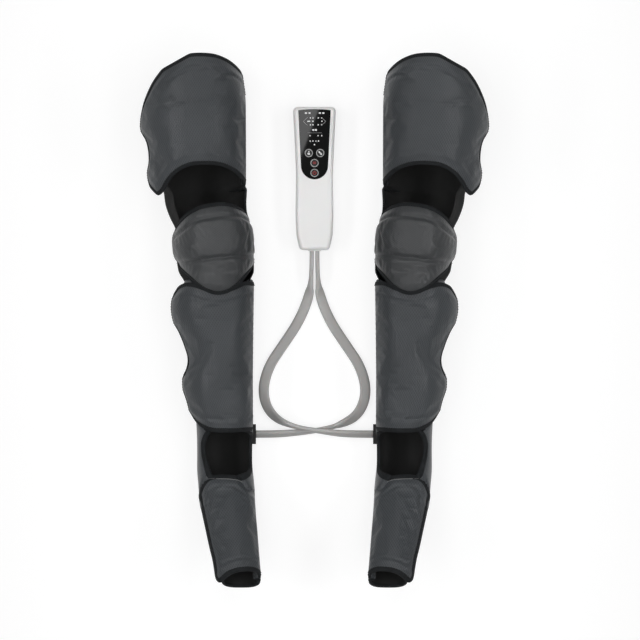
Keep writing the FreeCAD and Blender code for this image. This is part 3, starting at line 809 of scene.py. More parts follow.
@dataclass
class Panel:
    """A padded panel of cloth on a tube: two skins with a rounded edge, cut to an outline.

    The panel's own plane is (arc over the wrap, distance along it).
    """

    ROW: ClassVar[float] = 0.866                # from one row of corners to the next, in grains
    EDGE_ROOM: ClassVar[float] = 0.55           # corners keep this far from the edge, in grains
    SEAM_ROOM: ClassVar[float] = 0.5            # and this far from a seam
    RIM_BULGE: ClassVar[float] = 0.35           # how far the rim's middle stands out, in edge walls
    HELD_EDGE: ClassVar[Pair] = (8.5, 6.0)      # the margin that can't swell, and how soon the rest can
    HELD_SEAM: ClassVar[Pair] = (1.0, 2.5)      # the same beside a seam

    place: Place
    loop: Array
    wall: float = 5.0
    edge_wall: float = 2.6
    edge_width: float = 14.0
    grain: float = 3.6
    seams: list[Array] = field(default_factory=list)
    seam_depth: float = 2.2
    seam_width: float = 3.6
    swell: Place | None = None

    def outer_depth(self, pq: Array) -> Array:
        """The outer skin's depth.

        Args:
            pq: points of the panel's plane.

        Returns:
            How far the skin is under the tube's at each.
        """
        away = distance_to(pq, self.loop, True)
        share = np.clip(away / self.edge_width, 0.0, 1.0)
        thick = self.edge_wall + (self.wall - self.edge_wall) * (1 - (1 - share) ** 2)
        depth = self.wall - thick
        for seam in self.seams:
            gap = distance_to(pq, seam, False) / self.seam_width
            depth = depth + self.seam_depth * np.exp(-gap * gap)
        if self.swell is not None:
            depth = depth - self.swell(pq[:, 0], pq[:, 1], away)
        return depth

    @cached_property
    def plane(self) -> tuple[Array, list[tuple[int, int, int]]]:
        """The panel's plane.

        Returns:
            Its points, the loop's first, and its triangles.
        """
        low, high = self.loop.min(axis=0), self.loop.max(axis=0)
        rows = np.arange(low[1], high[1], self.grain * self.ROW)
        grid = np.array([(p + (self.grain / 2 if k % 2 else 0.0), q) for k, q in enumerate(rows)
                         for p in np.arange(low[0], high[0], self.grain)])
        grid = grid[inside(grid, self.loop)]
        grid = grid[distance_to(grid, self.loop, True) > self.EDGE_ROOM * self.grain]
        extra = []
        for seam in self.seams:
            line = even(seam, self.grain)
            line = line[inside(line, self.loop)]
            line = line[distance_to(line, self.loop, True) > self.SEAM_ROOM * self.grain]
            grid = grid[distance_to(grid, line, False) > self.SEAM_ROOM * self.grain]
            extra.append(line)
        points = np.vstack([self.loop, *extra, grid])
        count = len(self.loop)
        edges = [(i, (i + 1) % count) for i in range(count)]
        made = delaunay_2d_cdt([Vector(p) for p in points], edges, [list(range(count))], 1, 1e-6)
        verts = np.array([tuple(v) for v in made[0]])
        first = {old: new for new, olds in enumerate(made[3]) for old in olds}
        order = np.array([first[i] for i in range(count)])
        order = np.concatenate([order, np.setdiff1d(np.arange(len(verts)), order)])
        rank = np.argsort(order)
        return verts[order], [tuple(int(rank[i]) for i in f) for f in made[2]]

    @cached_property
    def sheet(self) -> Sheet:
        """The panel's closed mesh.

        Returns:
            The mesh, with slot 0 outside and slot 1 inside.
        """
        pq, triangles = self.plane
        count, rim = len(pq), len(self.loop)
        top = self.outer_depth(pq)
        outer = self.place(pq[:, 0], pq[:, 1], top)
        inner = self.place(pq[:, 0], pq[:, 1], np.maximum(top + self.edge_wall, self.wall))
        proud = self.loop + self.edge_wall * self.RIM_BULGE * away_from(self.loop)
        middle = self.place(proud[:, 0], proud[:, 1], self.wall - self.edge_wall / 2 + 0 * proud[:, 0])
        faces = [tuple(f) for f in triangles] + [tuple(i + count for i in reversed(f)) for f in triangles]
        slots = [0] * len(triangles) + [1] * len(triangles)
        for i in range(rim):
            j = (i + 1) % rim
            faces.append((j, i, 2 * count + i, 2 * count + j))
            faces.append((2 * count + j, 2 * count + i, count + i, count + j))
            slots += [0, 1]
        return Sheet(np.vstack([outer, inner, middle]), faces, np.vstack([pq, pq, self.loop]), slots)

    @cached_property
    def held(self) -> Array:
        """How firmly each corner of the mesh is held when the panel swells.

        Returns:
            From 0, free, to 1, fixed.
        """
        pq = self.plane[0]
        margin, soon = self.HELD_EDGE
        free = eased((distance_to(pq, self.loop, True) - margin) / soon)
        margin, soon = self.HELD_SEAM
        for seam in self.seams:
            free = free * eased((distance_to(pq, seam, False) - margin) / soon)
        return np.concatenate([1 - free, np.ones(len(pq) + len(self.loop))])

    def line(self, path: Array, lift: float) -> Array:
        """Points on the outer skin along a path of the panel's plane, raised a little."""
        return self.place(path[:, 0], path[:, 1], self.outer_depth(path) - lift)


@dataclass(frozen=True)
class Swelling:
    """A short cloth simulation under inner pressure, which rounds and creases a padded panel."""

    pressure: float = 4.0
    growth: float = 0.014
    cap: float = 2.6
    frames: int = 20

    def run(self, sheet: Sheet, held: Array) -> Sheet:
        """Swells a closed mesh.

        Args:
            sheet: the mesh.
            held: 1 where a corner stays in place, 0 where it is free.

        Returns:
            The mesh with its corners moved, none further than about the cap.
        """
        mesh = bpy.data.meshes.new("swelling")
        mesh.from_pydata((sheet.verts * MM).tolist(), [], sheet.faces)
        obj = outward(linked(bpy.data.objects.new("swelling", mesh)))
        group = obj.vertex_groups.new(name="held")
        for i, weight in enumerate(held):
            group.add([i], float(weight), "REPLACE")
        cloth = obj.modifiers.new("cloth", "CLOTH")
        cloth.settings.vertex_group_mass = group.name
        cloth.settings.use_pressure = True
        cloth.settings.uniform_pressure_force = self.pressure
        cloth.settings.shrink_min = -self.growth
        cloth.settings.effector_weights.gravity = 0.0
        cloth.collision_settings.use_collision = False
        cloth.point_cache.frame_start, cloth.point_cache.frame_end = 1, self.frames
        for number in range(1, self.frames + 1):
            bpy.context.scene.frame_set(number)
        done = obj.evaluated_get(bpy.context.evaluated_depsgraph_get()).data
        at = np.empty(len(sheet.verts) * 3)
        done.vertices.foreach_get("co", at)
        move = at.reshape(-1, 3) / MM - sheet.verts
        size = np.maximum(np.linalg.norm(move, axis=1), 1e-9)[:, None]
        log.info("swelling: %d corners moved up to %.1f mm", len(move), size.max())
        bpy.context.scene.frame_set(1)
        bpy.data.objects.remove(obj)
        bpy.data.meshes.remove(mesh)
        return replace(sheet, verts=sheet.verts + move / size * self.cap * np.tanh(size / self.cap))


class TapeFace(Enum):
    """Where on a panel's edge a line of its binding lies."""

    OUTSIDE = 0
    INSIDE = 1
    RIM = 2


@dataclass
class Tape:
    """Binding tape folded over a stretch of a panel's edge. Its rim stands RIM outside the edge."""

    RIM: ClassVar[float] = 1.6
    CURVE: ClassVar[float] = 1.1        # where the tape turns over the edge
    CURVE_LIFT: ClassVar[float] = 0.2
    HEM: ClassVar[float] = 0.3          # the last of its width, which dips into the cloth

    panel: Panel
    path: Array
    out: Array
    width: float | Array
    cloth: float = 0.7

    def ring(self, offset: float | Array, skin: TapeFace, lift: float) -> Array:
        """One line of the tape.

        Args:
            offset: how far in from the edge it runs.
            skin: what it runs on.
            lift: its height over the cloth there.

        Returns:
            Its points.
        """
        pq = self.path - self.out * np.reshape(offset, (-1, 1))
        if skin is TapeFace.OUTSIDE:
            depth = self.panel.outer_depth(pq) - lift
        elif skin is TapeFace.INSIDE:
            depth = self.panel.wall + 0 * pq[:, 0] + lift
        else:
            depth = self.panel.wall - self.panel.edge_wall / 2 + 0 * pq[:, 0]
        return self.panel.place(pq[:, 0], pq[:, 1], depth)

    def sheet(self) -> Sheet:
        """The tape's closed mesh.

        Returns:
            The mesh, from its hem outside, round the edge, to its hem inside.
        """
        reach = self.width - self.RIM
        flat = (0.0, 0.5, reach * 0.55, reach - self.HEM)
        lines = [*((offset, self.cloth) for offset in flat), (reach, -self.HEM)]
        rings = [self.ring(offset, TapeFace.OUTSIDE, lift) for offset, lift in reversed(lines)]
        rings.append(self.ring(-self.CURVE, TapeFace.OUTSIDE, self.CURVE_LIFT))
        rings.append(self.ring(-self.RIM, TapeFace.RIM, 0.0))
        rings.append(self.ring(-self.CURVE, TapeFace.INSIDE, self.CURVE_LIFT))
        rings += [self.ring(offset, TapeFace.INSIDE, lift) for offset, lift in lines]
        rings.append(self.ring(reach * 0.5, TapeFace.RIM, 0.0))
        return swept(np.stack(rings, axis=1), False)


def unfold(place: Place, seen: Run, guess: Pair, rim: float = 4.2) -> Run:
    """Where on a sheet points of its rim seen from above lie, found by Newton steps.

    Args:
        place: the sheet's points from angles in radians, distances and depths.
        seen: pairs of X and distance from the toes.
        guess: a likely angle in degrees, and how much further on than seen its distance is.
        rim: the rim's depth under the outer skin.

    Returns:
        Pairs of degrees and the sheet's own distance.
    """
    rounds, damping, turn, slide, longest = 40, 0.7, 0.001, 0.1, np.array([0.12, 5.0])
    goal = np.array(seen, float) + (0.0, TOE_Y)
    at = np.stack([np.full(len(seen), math.radians(guess[0])), np.array(seen)[:, 1] + guess[1]], axis=1)
    depth = np.full(len(seen), rim)
    for _ in range(rounds):
        here = place(at[:, 0], at[:, 1], depth)[:, :2]
        by_angle = (place(at[:, 0] + turn, at[:, 1], depth)[:, :2] - here) / turn
        by_length = (place(at[:, 0], at[:, 1] + slide, depth)[:, :2] - here) / slide
        slopes = np.stack([by_angle, by_length], axis=2)
        step = np.linalg.solve(slopes + 1e-6 * np.eye(2), (goal - here)[:, :, None])[:, :, 0]
        at += damping * np.clip(step, -longest, longest)
    log.info("unfolded %d points, worst miss %.2f mm", len(seen), np.abs(goal - here).max())
    return [(math.degrees(t), a) for t, a in at]


# ---------------------------------------------------------------- stitches
@dataclass(frozen=True)
class Stitch:
    """One stitch: from it to the next, its own length, and its thread."""

    pitch: float = 4.2
    length: float = 3.0
    thickness: float = 0.75


class StitchRun:
    """A Geometry Nodes tree that lays stitches along a line."""

    def __init__(self) -> None:
        """Builds the tree once."""
        self.tree = bpy.data.node_groups.new("stitch_run", "GeometryNodeTree")
        io = self.tree.interface
        self.inputs = {
            name: io.new_socket(name, in_out="INPUT", socket_type="NodeSocket" + kind).identifier
            for name, kind in (("Geometry", "Geometry"), ("Pitch", "Float"), ("Length", "Float"),
                               ("Thickness", "Float"), ("Thread", "Material"))
        }
        io.new_socket("Geometry", in_out="OUTPUT", socket_type="NodeSocketGeometry")
        n = Nodes(self.tree)
        given = n.add("NodeGroupInput").outputs
        curve = n.add("GeometryNodeMeshToCurve", {"Mesh": given["Geometry"]}).outputs[0]
        evened = n.add("GeometryNodeResampleCurve", {"Curve": curve, "Length": given["Pitch"]}, mode="LENGTH")
        ball = n.add("GeometryNodeMeshUVSphere", {"Segments": 6, "Rings": 5, "Radius": 0.5})
        tangent = n.add("GeometryNodeInputTangent").outputs[0]
        turn = n.add("FunctionNodeAlignRotationToVector", {"Vector": tangent}, axis="X").outputs[0]
        size = n.add("CombineXYZ", {"X": given["Length"], "Y": given["Thickness"], "Z": given["Thickness"]})
        placed = n.add("GeometryNodeInstanceOnPoints", {
            "Points": evened.outputs[0], "Instance": ball.outputs["Mesh"], "Rotation": turn,
            "Scale": size.outputs[0],
        })
        smooth = n.add("GeometryNodeSetShadeSmooth", {"Geometry": placed.outputs[0]})
        real = n.add("GeometryNodeRealizeInstances", {"Geometry": smooth.outputs[0]})
        dressed = n.add("GeometryNodeSetMaterial", {"Geometry": real.outputs[0], "Material": given["Thread"]})
        n.add("NodeGroupOutput", {"Geometry": dressed.outputs[0]})

    def sew(self, name: str, lines: list[Array], side: Side, thread: Finish, stitch: Stitch) -> Object:
        """Sews stitches along lines.

        Args:
            name: the piece's name.
            lines: each an array of points, for the side at +X.
            side: the side it is for.
            thread: the stitches' finish.
            stitch: their sizes.

        Returns:
            The stitches as one plain mesh object.
        """
        verts, edges = [], []
        for line in lines:
            start = len(verts)
            verts += (line * MM * np.array([side.value, 1.0, 1.0])).tolist()
            edges += [(start + i, start + i + 1) for i in range(len(line) - 1)]
        mesh = bpy.data.meshes.new(name + "_line")
        mesh.from_pydata(verts, edges, [])
        obj = linked(bpy.data.objects.new(name, mesh))
        modifier = obj.modifiers.new("stitches", "NODES")
        modifier.node_group = self.tree
        sizes = {"Pitch": stitch.pitch, "Length": stitch.length, "Thickness": stitch.thickness}
        for key, value in sizes.items():
            modifier[self.inputs[key]] = value * MM
        modifier[self.inputs["Thread"]] = thread.material
        done = bpy.data.meshes.new_from_object(obj.evaluated_get(bpy.context.evaluated_depsgraph_get()))
        obj.modifiers.clear()
        obj.data = done
        bpy.data.meshes.remove(mesh)
        log.info("%s: %d corners", name, len(done.vertices))
        return obj


# ---------------------------------------------------------------- the leg wrap
@dataclass
class FlapPiece:
    """A padded front flap or pad with its binding and stitches, made once and placed on both sides."""

    HINGE: ClassVar[float] = math.radians(1.2)      # the hinge line's angle over the wrap
    ROUNDS: ClassVar[int] = 12                      # of the search for a place on the foot
    STEP: ClassVar[float] = 3.0                     # from one point of the edge to the next
    STEEP: ClassVar[float] = 4.0                    # how far in from the edge its steepness is read
    ROW_INSET: ClassVar[float] = 0.9                # the stitches' distance from the binding's inner edge
    ROW_LIFT: ClassVar[float] = 0.8

    name: str
    sleeve: Sleeve
    outline: Outline
    radius: float
    nodes: tuple[str, ...]
    tape_width: float
    slot: str = "wrap_fabric"
    finish: Finish = Finish.WRAP
    foot: bool = False
    wall: float = 5.0
    edge_width: float = 16.0
    widest_tape: float = 10.0
    swell: Place | None = None
    seam_lines: list[Run] = field(default_factory=list)
    # path of the foot flap's raised cord, whose pale colour is painted highlight
    cord: Run = field(default_factory=list)
    fill: float = 0.35
    swelling: Swelling = Swelling()

    def place(self, p: Array, q: Array, depth: Array) -> Array:
        """Points of the flap from its own plane."""
        points = self.sleeve.flap(p / self.radius, q, depth)
        return tipped(points) if self.foot else points

    def to_plane(self, line: Array) -> Array:
        """Brings points seen from above into the flap's own plane.

        Args:
            line: their X and distance from the toes.

        Returns:
            The same points in the plane, none beyond the hinge.
        """
        along = self.foot_distance(line[:, 0], line[:, 1]) if self.foot else line[:, 1]
        theta = np.maximum(self.sleeve.angle(line[:, 0], along, self.edge_depth(along)), self.HINGE)
        return np.stack([theta * self.radius, along], axis=1)

    def edge_depth(self, along: Array) -> Array:
        """How far the flap's outer skin is under the tube's at its edge."""
        raised = 0.0 if self.swell is None else self.swell(0 * along, along, 0 * along)
        return self.wall - Panel.edge_wall - raised + 0 * along

    def foot_distance(self, x: Array, from_toes: Array) -> Array:
        """Distance from the heel, along the foot, of points of its top skin seen from above.

        Args:
            x: the points' X.
            from_toes: their distance from the toes.

        Returns:
            The distances, found by going round a few times.
        """
        y = TOE_Y + from_toes - HEEL_Y
        along = -y / math.cos(FOOT_TILT)
        for _ in range(self.ROUNDS):
            depth, rise = self.edge_depth(along), self.sleeve.rise(along)
            theta = self.sleeve.angle(x, along, depth)
            z = rise - BACK_SHIFT + (rise - depth) * np.sin(theta) - FOLD_Z
            along = (-y + z * math.sin(FOOT_TILT)) / math.cos(FOOT_TILT)
        return along

    @cached_property
    def edge(self) -> tuple[Array, Array]:
        """The flap's edge in its own plane.

        Returns:
            The binding's path, and the panel's whole loop, which starts with it.
        """
        ends = np.array([(self.HINGE * self.radius, d) for d in self.outline.hinge])
        lines = [self.to_plane(smooth_run(run, 1.0)) for run in self.outline.runs]
        lines[0][0], lines[-1][-1] = ends
        bound = [k for k in range(len(lines)) if k not in self.outline.bare]
        path = softened(even(np.vstack([lines[k] for k in bound]), self.STEP), 3)
        rest = np.vstack([path[-1:], *lines[bound[-1] + 1:], ends[::-1], *lines[:bound[0]], path[:1]])
        loop = np.vstack([path, even(rest, self.STEP)[1:-1]])
        path = path - steadied(away_from(loop)[:len(path)]) * Tape.RIM
        return path, np.vstack([path, loop[len(path):]])

    @cached_property
    def panel(self) -> Panel:
        """The flap's cloth."""
        seams = [self.to_plane(smooth_run(line, 3.0)) for line in self.seam_lines]
        return Panel(self.place, self.edge[1], self.wall, edge_width=self.edge_width, seams=seams,
                     swell=self.swell)

    @cached_property
    def tape(self) -> Tape:
        """The flap's binding, wider where the cloth stands steep, so that it shows from above.

        Returns:
            The binding.
        """
        path, loop = self.edge
        out = steadied(away_from(loop)[:len(path)])
        inward = self.panel.line(path - self.STEEP * out, 0.0) - self.panel.line(path, 0.0)
        share = np.linalg.norm(inward[:, :2], axis=1) / np.maximum(np.linalg.norm(inward, axis=1), 1e-9)
        widths = np.clip(self.tape_width / np.maximum(share, 0.1), self.tape_width, self.widest_tape)
        return Tape(self.panel, path, out, softened(widths, 4))

    @cached_property
    def swollen(self) -> Sheet:
        """The flap's mesh after its padding has swollen it."""
        return self.swelling.run(self.panel.sheet, self.panel.held)

    def threads(self) -> list[tuple[str, list[Array], Finish, Stitch]]:
        """The rows of stitches on the flap.

        Returns:
            For each kind, the word in its name, its lines, its thread and its stitch.
        """
        tape = self.tape
        inset = (tape.width - tape.RIM - self.ROW_INSET)[:, None]
        edge = self.panel.line(tape.path - tape.out * inset, self.ROW_LIFT)
        rows = [("edge_stitches", [edge], Finish.DARK_THREAD, Stitch())]
        if self.seam_lines:
            seams = [self.panel.line(even(seam, 2.0), 0.1) for seam in self.panel.seams]
            rows.append(("seam_stitches", seams, Finish.DARK_THREAD, Stitch(3.6, 2.8)))
        # a raised cord along the foot flap's top edge; its pale colour is painted highlight for the lip and
        # puckers there
        if self.cord:
            path = softened(even(self.to_plane(smooth_run(self.cord, 1.0)), 1.5), 2)
            rows.append(("edge_highlight_cord", [self.panel.line(path, 0.2)], Finish.SEAM_CORD, Stitch(1.5, 2.6, 1.2)))
        return rows

    def build(self, side: Side, stitcher: StitchRun) -> None:
        """Makes the flap, its binding and its stitches.

        Args:
            side: the side they are for.
            stitcher: what sews them.
        """
        body = side.of(self.nodes[0])
        piece = make_object(side.of(self.name), self.swollen, [self.finish, Finish.LINING], side)
        smoother = piece.modifiers.new("rounder", "SUBSURF")
        smoother.levels = smoother.render_levels = 1
        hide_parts(*(side.of(node) for node in self.nodes))
        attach(piece, body)
        binding = make_object(side.of(self.name + "_binding"), self.tape.sheet(), [Finish.BINDING], side)
        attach(binding, body)
        for word, lines, thread, stitch in self.threads():
            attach(stitcher.sew(side.of(f"{self.name}_{word}"), lines, side, thread, stitch), body)


@dataclass
class BackPiece:
    """A back panel or sole: cloth outside, black lining inside, cut to runs of (angle, distance).

    Only the runs whose numbers are in bound carry binding tape, each of its own width.
    """

    STEP: ClassVar[float] = 3.4         # from one point of the edge to the next
    GRAIN: ClassVar[float] = 4.2        # from one corner of the cloth to the next

    name: str
    place: Place
    runs: list[Run]
    radius: float
    nodes: tuple[str, ...]
    bound: dict[int, float]
    wall: float = 6.0
    slot: str = "wrap_fabric"
    finishes: tuple[Finish, Finish] = (Finish.WRAP, Finish.LINING)

    def build(self, side: Side) -> tuple[Object, list[Object]]:
        """Makes the panel and its binding.

        Args:
            side: the side it is for.

        Returns:
            The panel, and its binding pieces. Neither rides on a body yet.
        """
        piece = make_object(side.of(self.name), self.panel.sheet, list(self.finishes), side)
        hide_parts(*(side.of(node) for node in self.nodes))
        bindings = []
        for k, tape in self.tapes.items():
            bindings.append(make_object(side.of(f"{self.name}_binding_{k}"), tape, [Finish.BINDING], side))
        return piece, bindings

    @cached_property
    def cut(self) -> tuple[Array, dict[int, Array], Array]:
        """The panel's edge in its own plane.

        Returns:
            Its loop, each bound run's numbers in it, and the way out of it.
        """
        scale = math.radians(1.0) * self.radius
        lines = [smooth_run([(a * scale, d) for a, d in run], self.STEP) for run in self.runs]
        starts = np.cumsum([0] + [len(line) - 1 for line in lines])
        loop = softened(np.vstack([line[:-1] for line in lines]), 2, True)
        out = away_from(loop)
        spans = {k: np.arange(starts[k], starts[k + 1] + 1) % len(loop) for k in self.bound}
        for span in spans.values():
            loop[span] -= out[span] * Tape.RIM
        return loop, spans, out

    @cached_property
    def panel(self) -> Panel:
        """The cloth."""
        edge_wall = min(Panel.edge_wall, self.wall * 0.8)
        return Panel(self.place, self.cut[0], self.wall, edge_wall=edge_wall, grain=self.GRAIN)

    @cached_property
    def tapes(self) -> dict[int, Sheet]:
        """The binding's mesh for each bound run."""
        loop, spans, out = self.cut
        return {k: Tape(self.panel, loop[span], steadied(out[span]), self.bound[k]).sheet()
                for k, span in spans.items()}


@dataclass
class Fastener:
    """A hook tape patch just outside a back panel.

    It reaches from one angle to another, in degrees, and over a stretch of the sleeve.
    """

    TUCK: ClassVar[Triple] = (3.0, math.radians(167.0), 0.3)    # drawn in as the back panel is
    STAND: ClassVar[float] = 1.3        # how far it stands on the panel under it
    STEP: ClassVar[float] = 3.0         # from one point of its edge to the next

    word: str
    sleeve: Sleeve
    radius: float
    angles: Pair
    stretch: Pair
    body: str | None = None
    foot: bool = False

    def place(self, p: Array, q: Array, depth: Array) -> Array:
        """Points of the patch.

        Args:
            p: arcs over the wrap.
            q: distances along it.
            depth: how far the points are under the outer skin.

        Returns:
            The points.
        """
        theta = p / self.radius
        tuck, end, soon = self.TUCK
        points = self.sleeve.back(theta, q, depth + tuck * eased((end - theta) / soon) - self.STAND)
        return tipped(points) if self.foot else points

    @cached_property
    def panel(self) -> Panel:
        """The patch's cloth.

        Returns:
            Its panel, with rounded corners.
        """
        k = math.radians(1.0) * self.radius
        (low, high), (start, end) = (self.angles[0] * k, self.angles[1] * k), self.stretch
        corners = np.array([(low, start), (high, start), (high, end), (low, end), (low, start)])
        return Panel(self.place, softened(even(corners, self.STEP)[:-1], 3, True), 1.2, 0.7, 4.0, 4.0)

    def build(self, side: Side) -> None:
        """Makes the patch. Where it names no body it rides on the fixed one.

        Args:
            side: the side it is for.
        """
        finishes = [Finish.HOOK, Finish.HOOK]
        piece = make_object(side.of(self.word + "_fastener"), self.panel.sheet, finishes, side)
        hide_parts(side.of(self.word + "_hook_tape"))
        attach(piece, side.of(self.body) if self.body else "set")


@dataclass(frozen=True)
class LowerShell:
    """The calf's back, the ankle and the sole as one sheet.

    Its own length is the distance from the toes on the calf, and runs on through the ankle fold and along
    the foot.
    """

    top: float = 172.0                                      # where the calf's own shape ends, from the toes
    heel: float = 12.0                                      # where the foot's own shape starts, from the heel
    span: float = 34.0                                      # the fold between them, in the shell's own length
    fullness: float = 0.8                                   # how far the fold bulges, as a share of its width
    calf_lean: float = math.tan(math.radians(12.0))         # how far the calf is sheared at its end
    calf_shear: float = 240.0                               # where its shear starts, from the toes
    foot_lean: float = math.tan(math.radians(41.0))         # how far the foot is sheared at its start
    foot_shear: float = 95.0                                # where its shear ends, from the heel
    calf_cover: Pair = (3.0, 5.0)                           # how soon the calf flap's edge covers the shell
    foot_cover: Pair = (3.5, 5.0)                           # and the foot flap's
    inner_tuck: Triple = (8.5, math.radians(350.0), 0.14)   # how far in it goes, from which angle, how soon
    outer_tuck: Triple = (3.6, math.radians(172.0), 0.3)
    calf_edge: Track = Track(((80, 237), (100, 236), (136, 234.5), (155, 235.8), (171, 243.3), (184, 260)))
    foot_edge: Track = Track(((80, 132), (87.8, 140), (98.7, 150), (108, 161.5), (116, 168), (130, 169),
                              (148, 169), (159.3, 166.7), (167.4, 159.3), (172.3, 145.5), (174, 138),
                              (182, 110)))

    def on_foot(self, f: float) -> float:
        """The shell's own length at a distance from the heel."""
        return self.top - self.span - (f - self.heel)

    def calf(self, theta: Array, along: Array, depth: Array) -> Array:
        """Calf points, sheared towards the heel fold's plane.

        Args:
            theta: their angles over the wrap.
            along: their distances from the toes.
            depth: how far they are under the outer skin.

        Returns:
            The points.
        """
        pts = CALF.back(theta, along, depth)
        lean = self.calf_lean * eased((self.calf_shear - along) / (self.calf_shear - self.top))
        pts[:, 1] += lean * (pts[:, 2] - FOLD_Z)
        return pts

    def foot(self, theta: Array, along: Array, depth: Array) -> Array:
        """Foot points, sheared towards the heel fold's plane and tipped.

        Args:
            theta: their angles over the wrap.
            along: their distances from the heel.
            depth: how far they are under the outer skin.

        Returns:
            The points.
        """
        pts = FOOT.back(theta, along, depth)
        lean = self.foot_lean * eased((self.foot_shear - along) / (self.foot_shear - self.heel))
        pts[:, 1] -= lean * (pts[:, 2] - FOLD_Z)
        return tipped(pts)

    def plain(self, theta: Array, a: Array, depth: Array) -> Array:
        """The sheet before it is drawn in.

        Args:
            theta: angles over the wrap.
            a: places in the shell's own length.
            depth: how far the points are under the outer skin.

        Returns:
            The points.
        """
        start, end = self.top, self.top - self.span
        on_calf = self.calf(theta, np.maximum(a, start), depth)
        on_foot = self.foot(theta, np.maximum(self.heel + (end - a), self.heel), depth)
        t = np.clip((start - a) / self.span, 0.0, 1.0)[:, None]
        c0 = self.calf(theta, np.full_like(a, start), depth)
        f0 = self.foot(theta, np.full_like(a, self.heel), depth)
        reach = self.fullness * np.linalg.norm(f0 - c0, axis=1)[:, None]
        calf_way = np.array([[0.0, -1.0, 0.0]])
        foot_way = np.array([[0.0, -math.cos(FOOT_TILT), math.sin(FOOT_TILT)]])
        bridge = ((1 + 2 * t) * (1 - t) ** 2 * c0 + t * (1 - t) ** 2 * reach * calf_way
                  + t * t * (3 - 2 * t) * f0 + t * t * (t - 1) * reach * foot_way)
        out = np.where(t <= 0, on_calf, np.where(t >= 1, on_foot, bridge))
        out[:, 2] = np.maximum(out[:, 2], FLOOR_GAP)
        return out

    def tuck(self, theta: Array, skin: Array) -> Array:
        """How far the shell's rim is drawn in where a flap's edge lies over it.

        Args:
            theta: angles over the wrap.
            skin: the outer skin's points before they are drawn in.

        Returns:
            The depths.
        """
        x, seen = skin[:, 0], skin[:, 1] - TOE_Y
        (before_calf, calf_soon), (before_foot, foot_soon) = self.calf_cover, self.foot_cover
        covered = (eased((seen - self.calf_edge(x) + before_calf) / calf_soon)
                   + eased((self.foot_edge(x) - seen + before_foot) / foot_soon))
        inner, start, soon = self.inner_tuck
        outer, end, late = self.outer_tuck
        return covered * (inner * eased((theta - start) / soon) + outer * eased((end - theta) / late))

    def place(self, theta: Array, a: Array, depth: Array) -> Array:
        """The sheet, drawn in under the flaps."""
        return self.plain(theta, a, depth + self.tuck(theta, self.plain(theta, a, 0 * depth)))


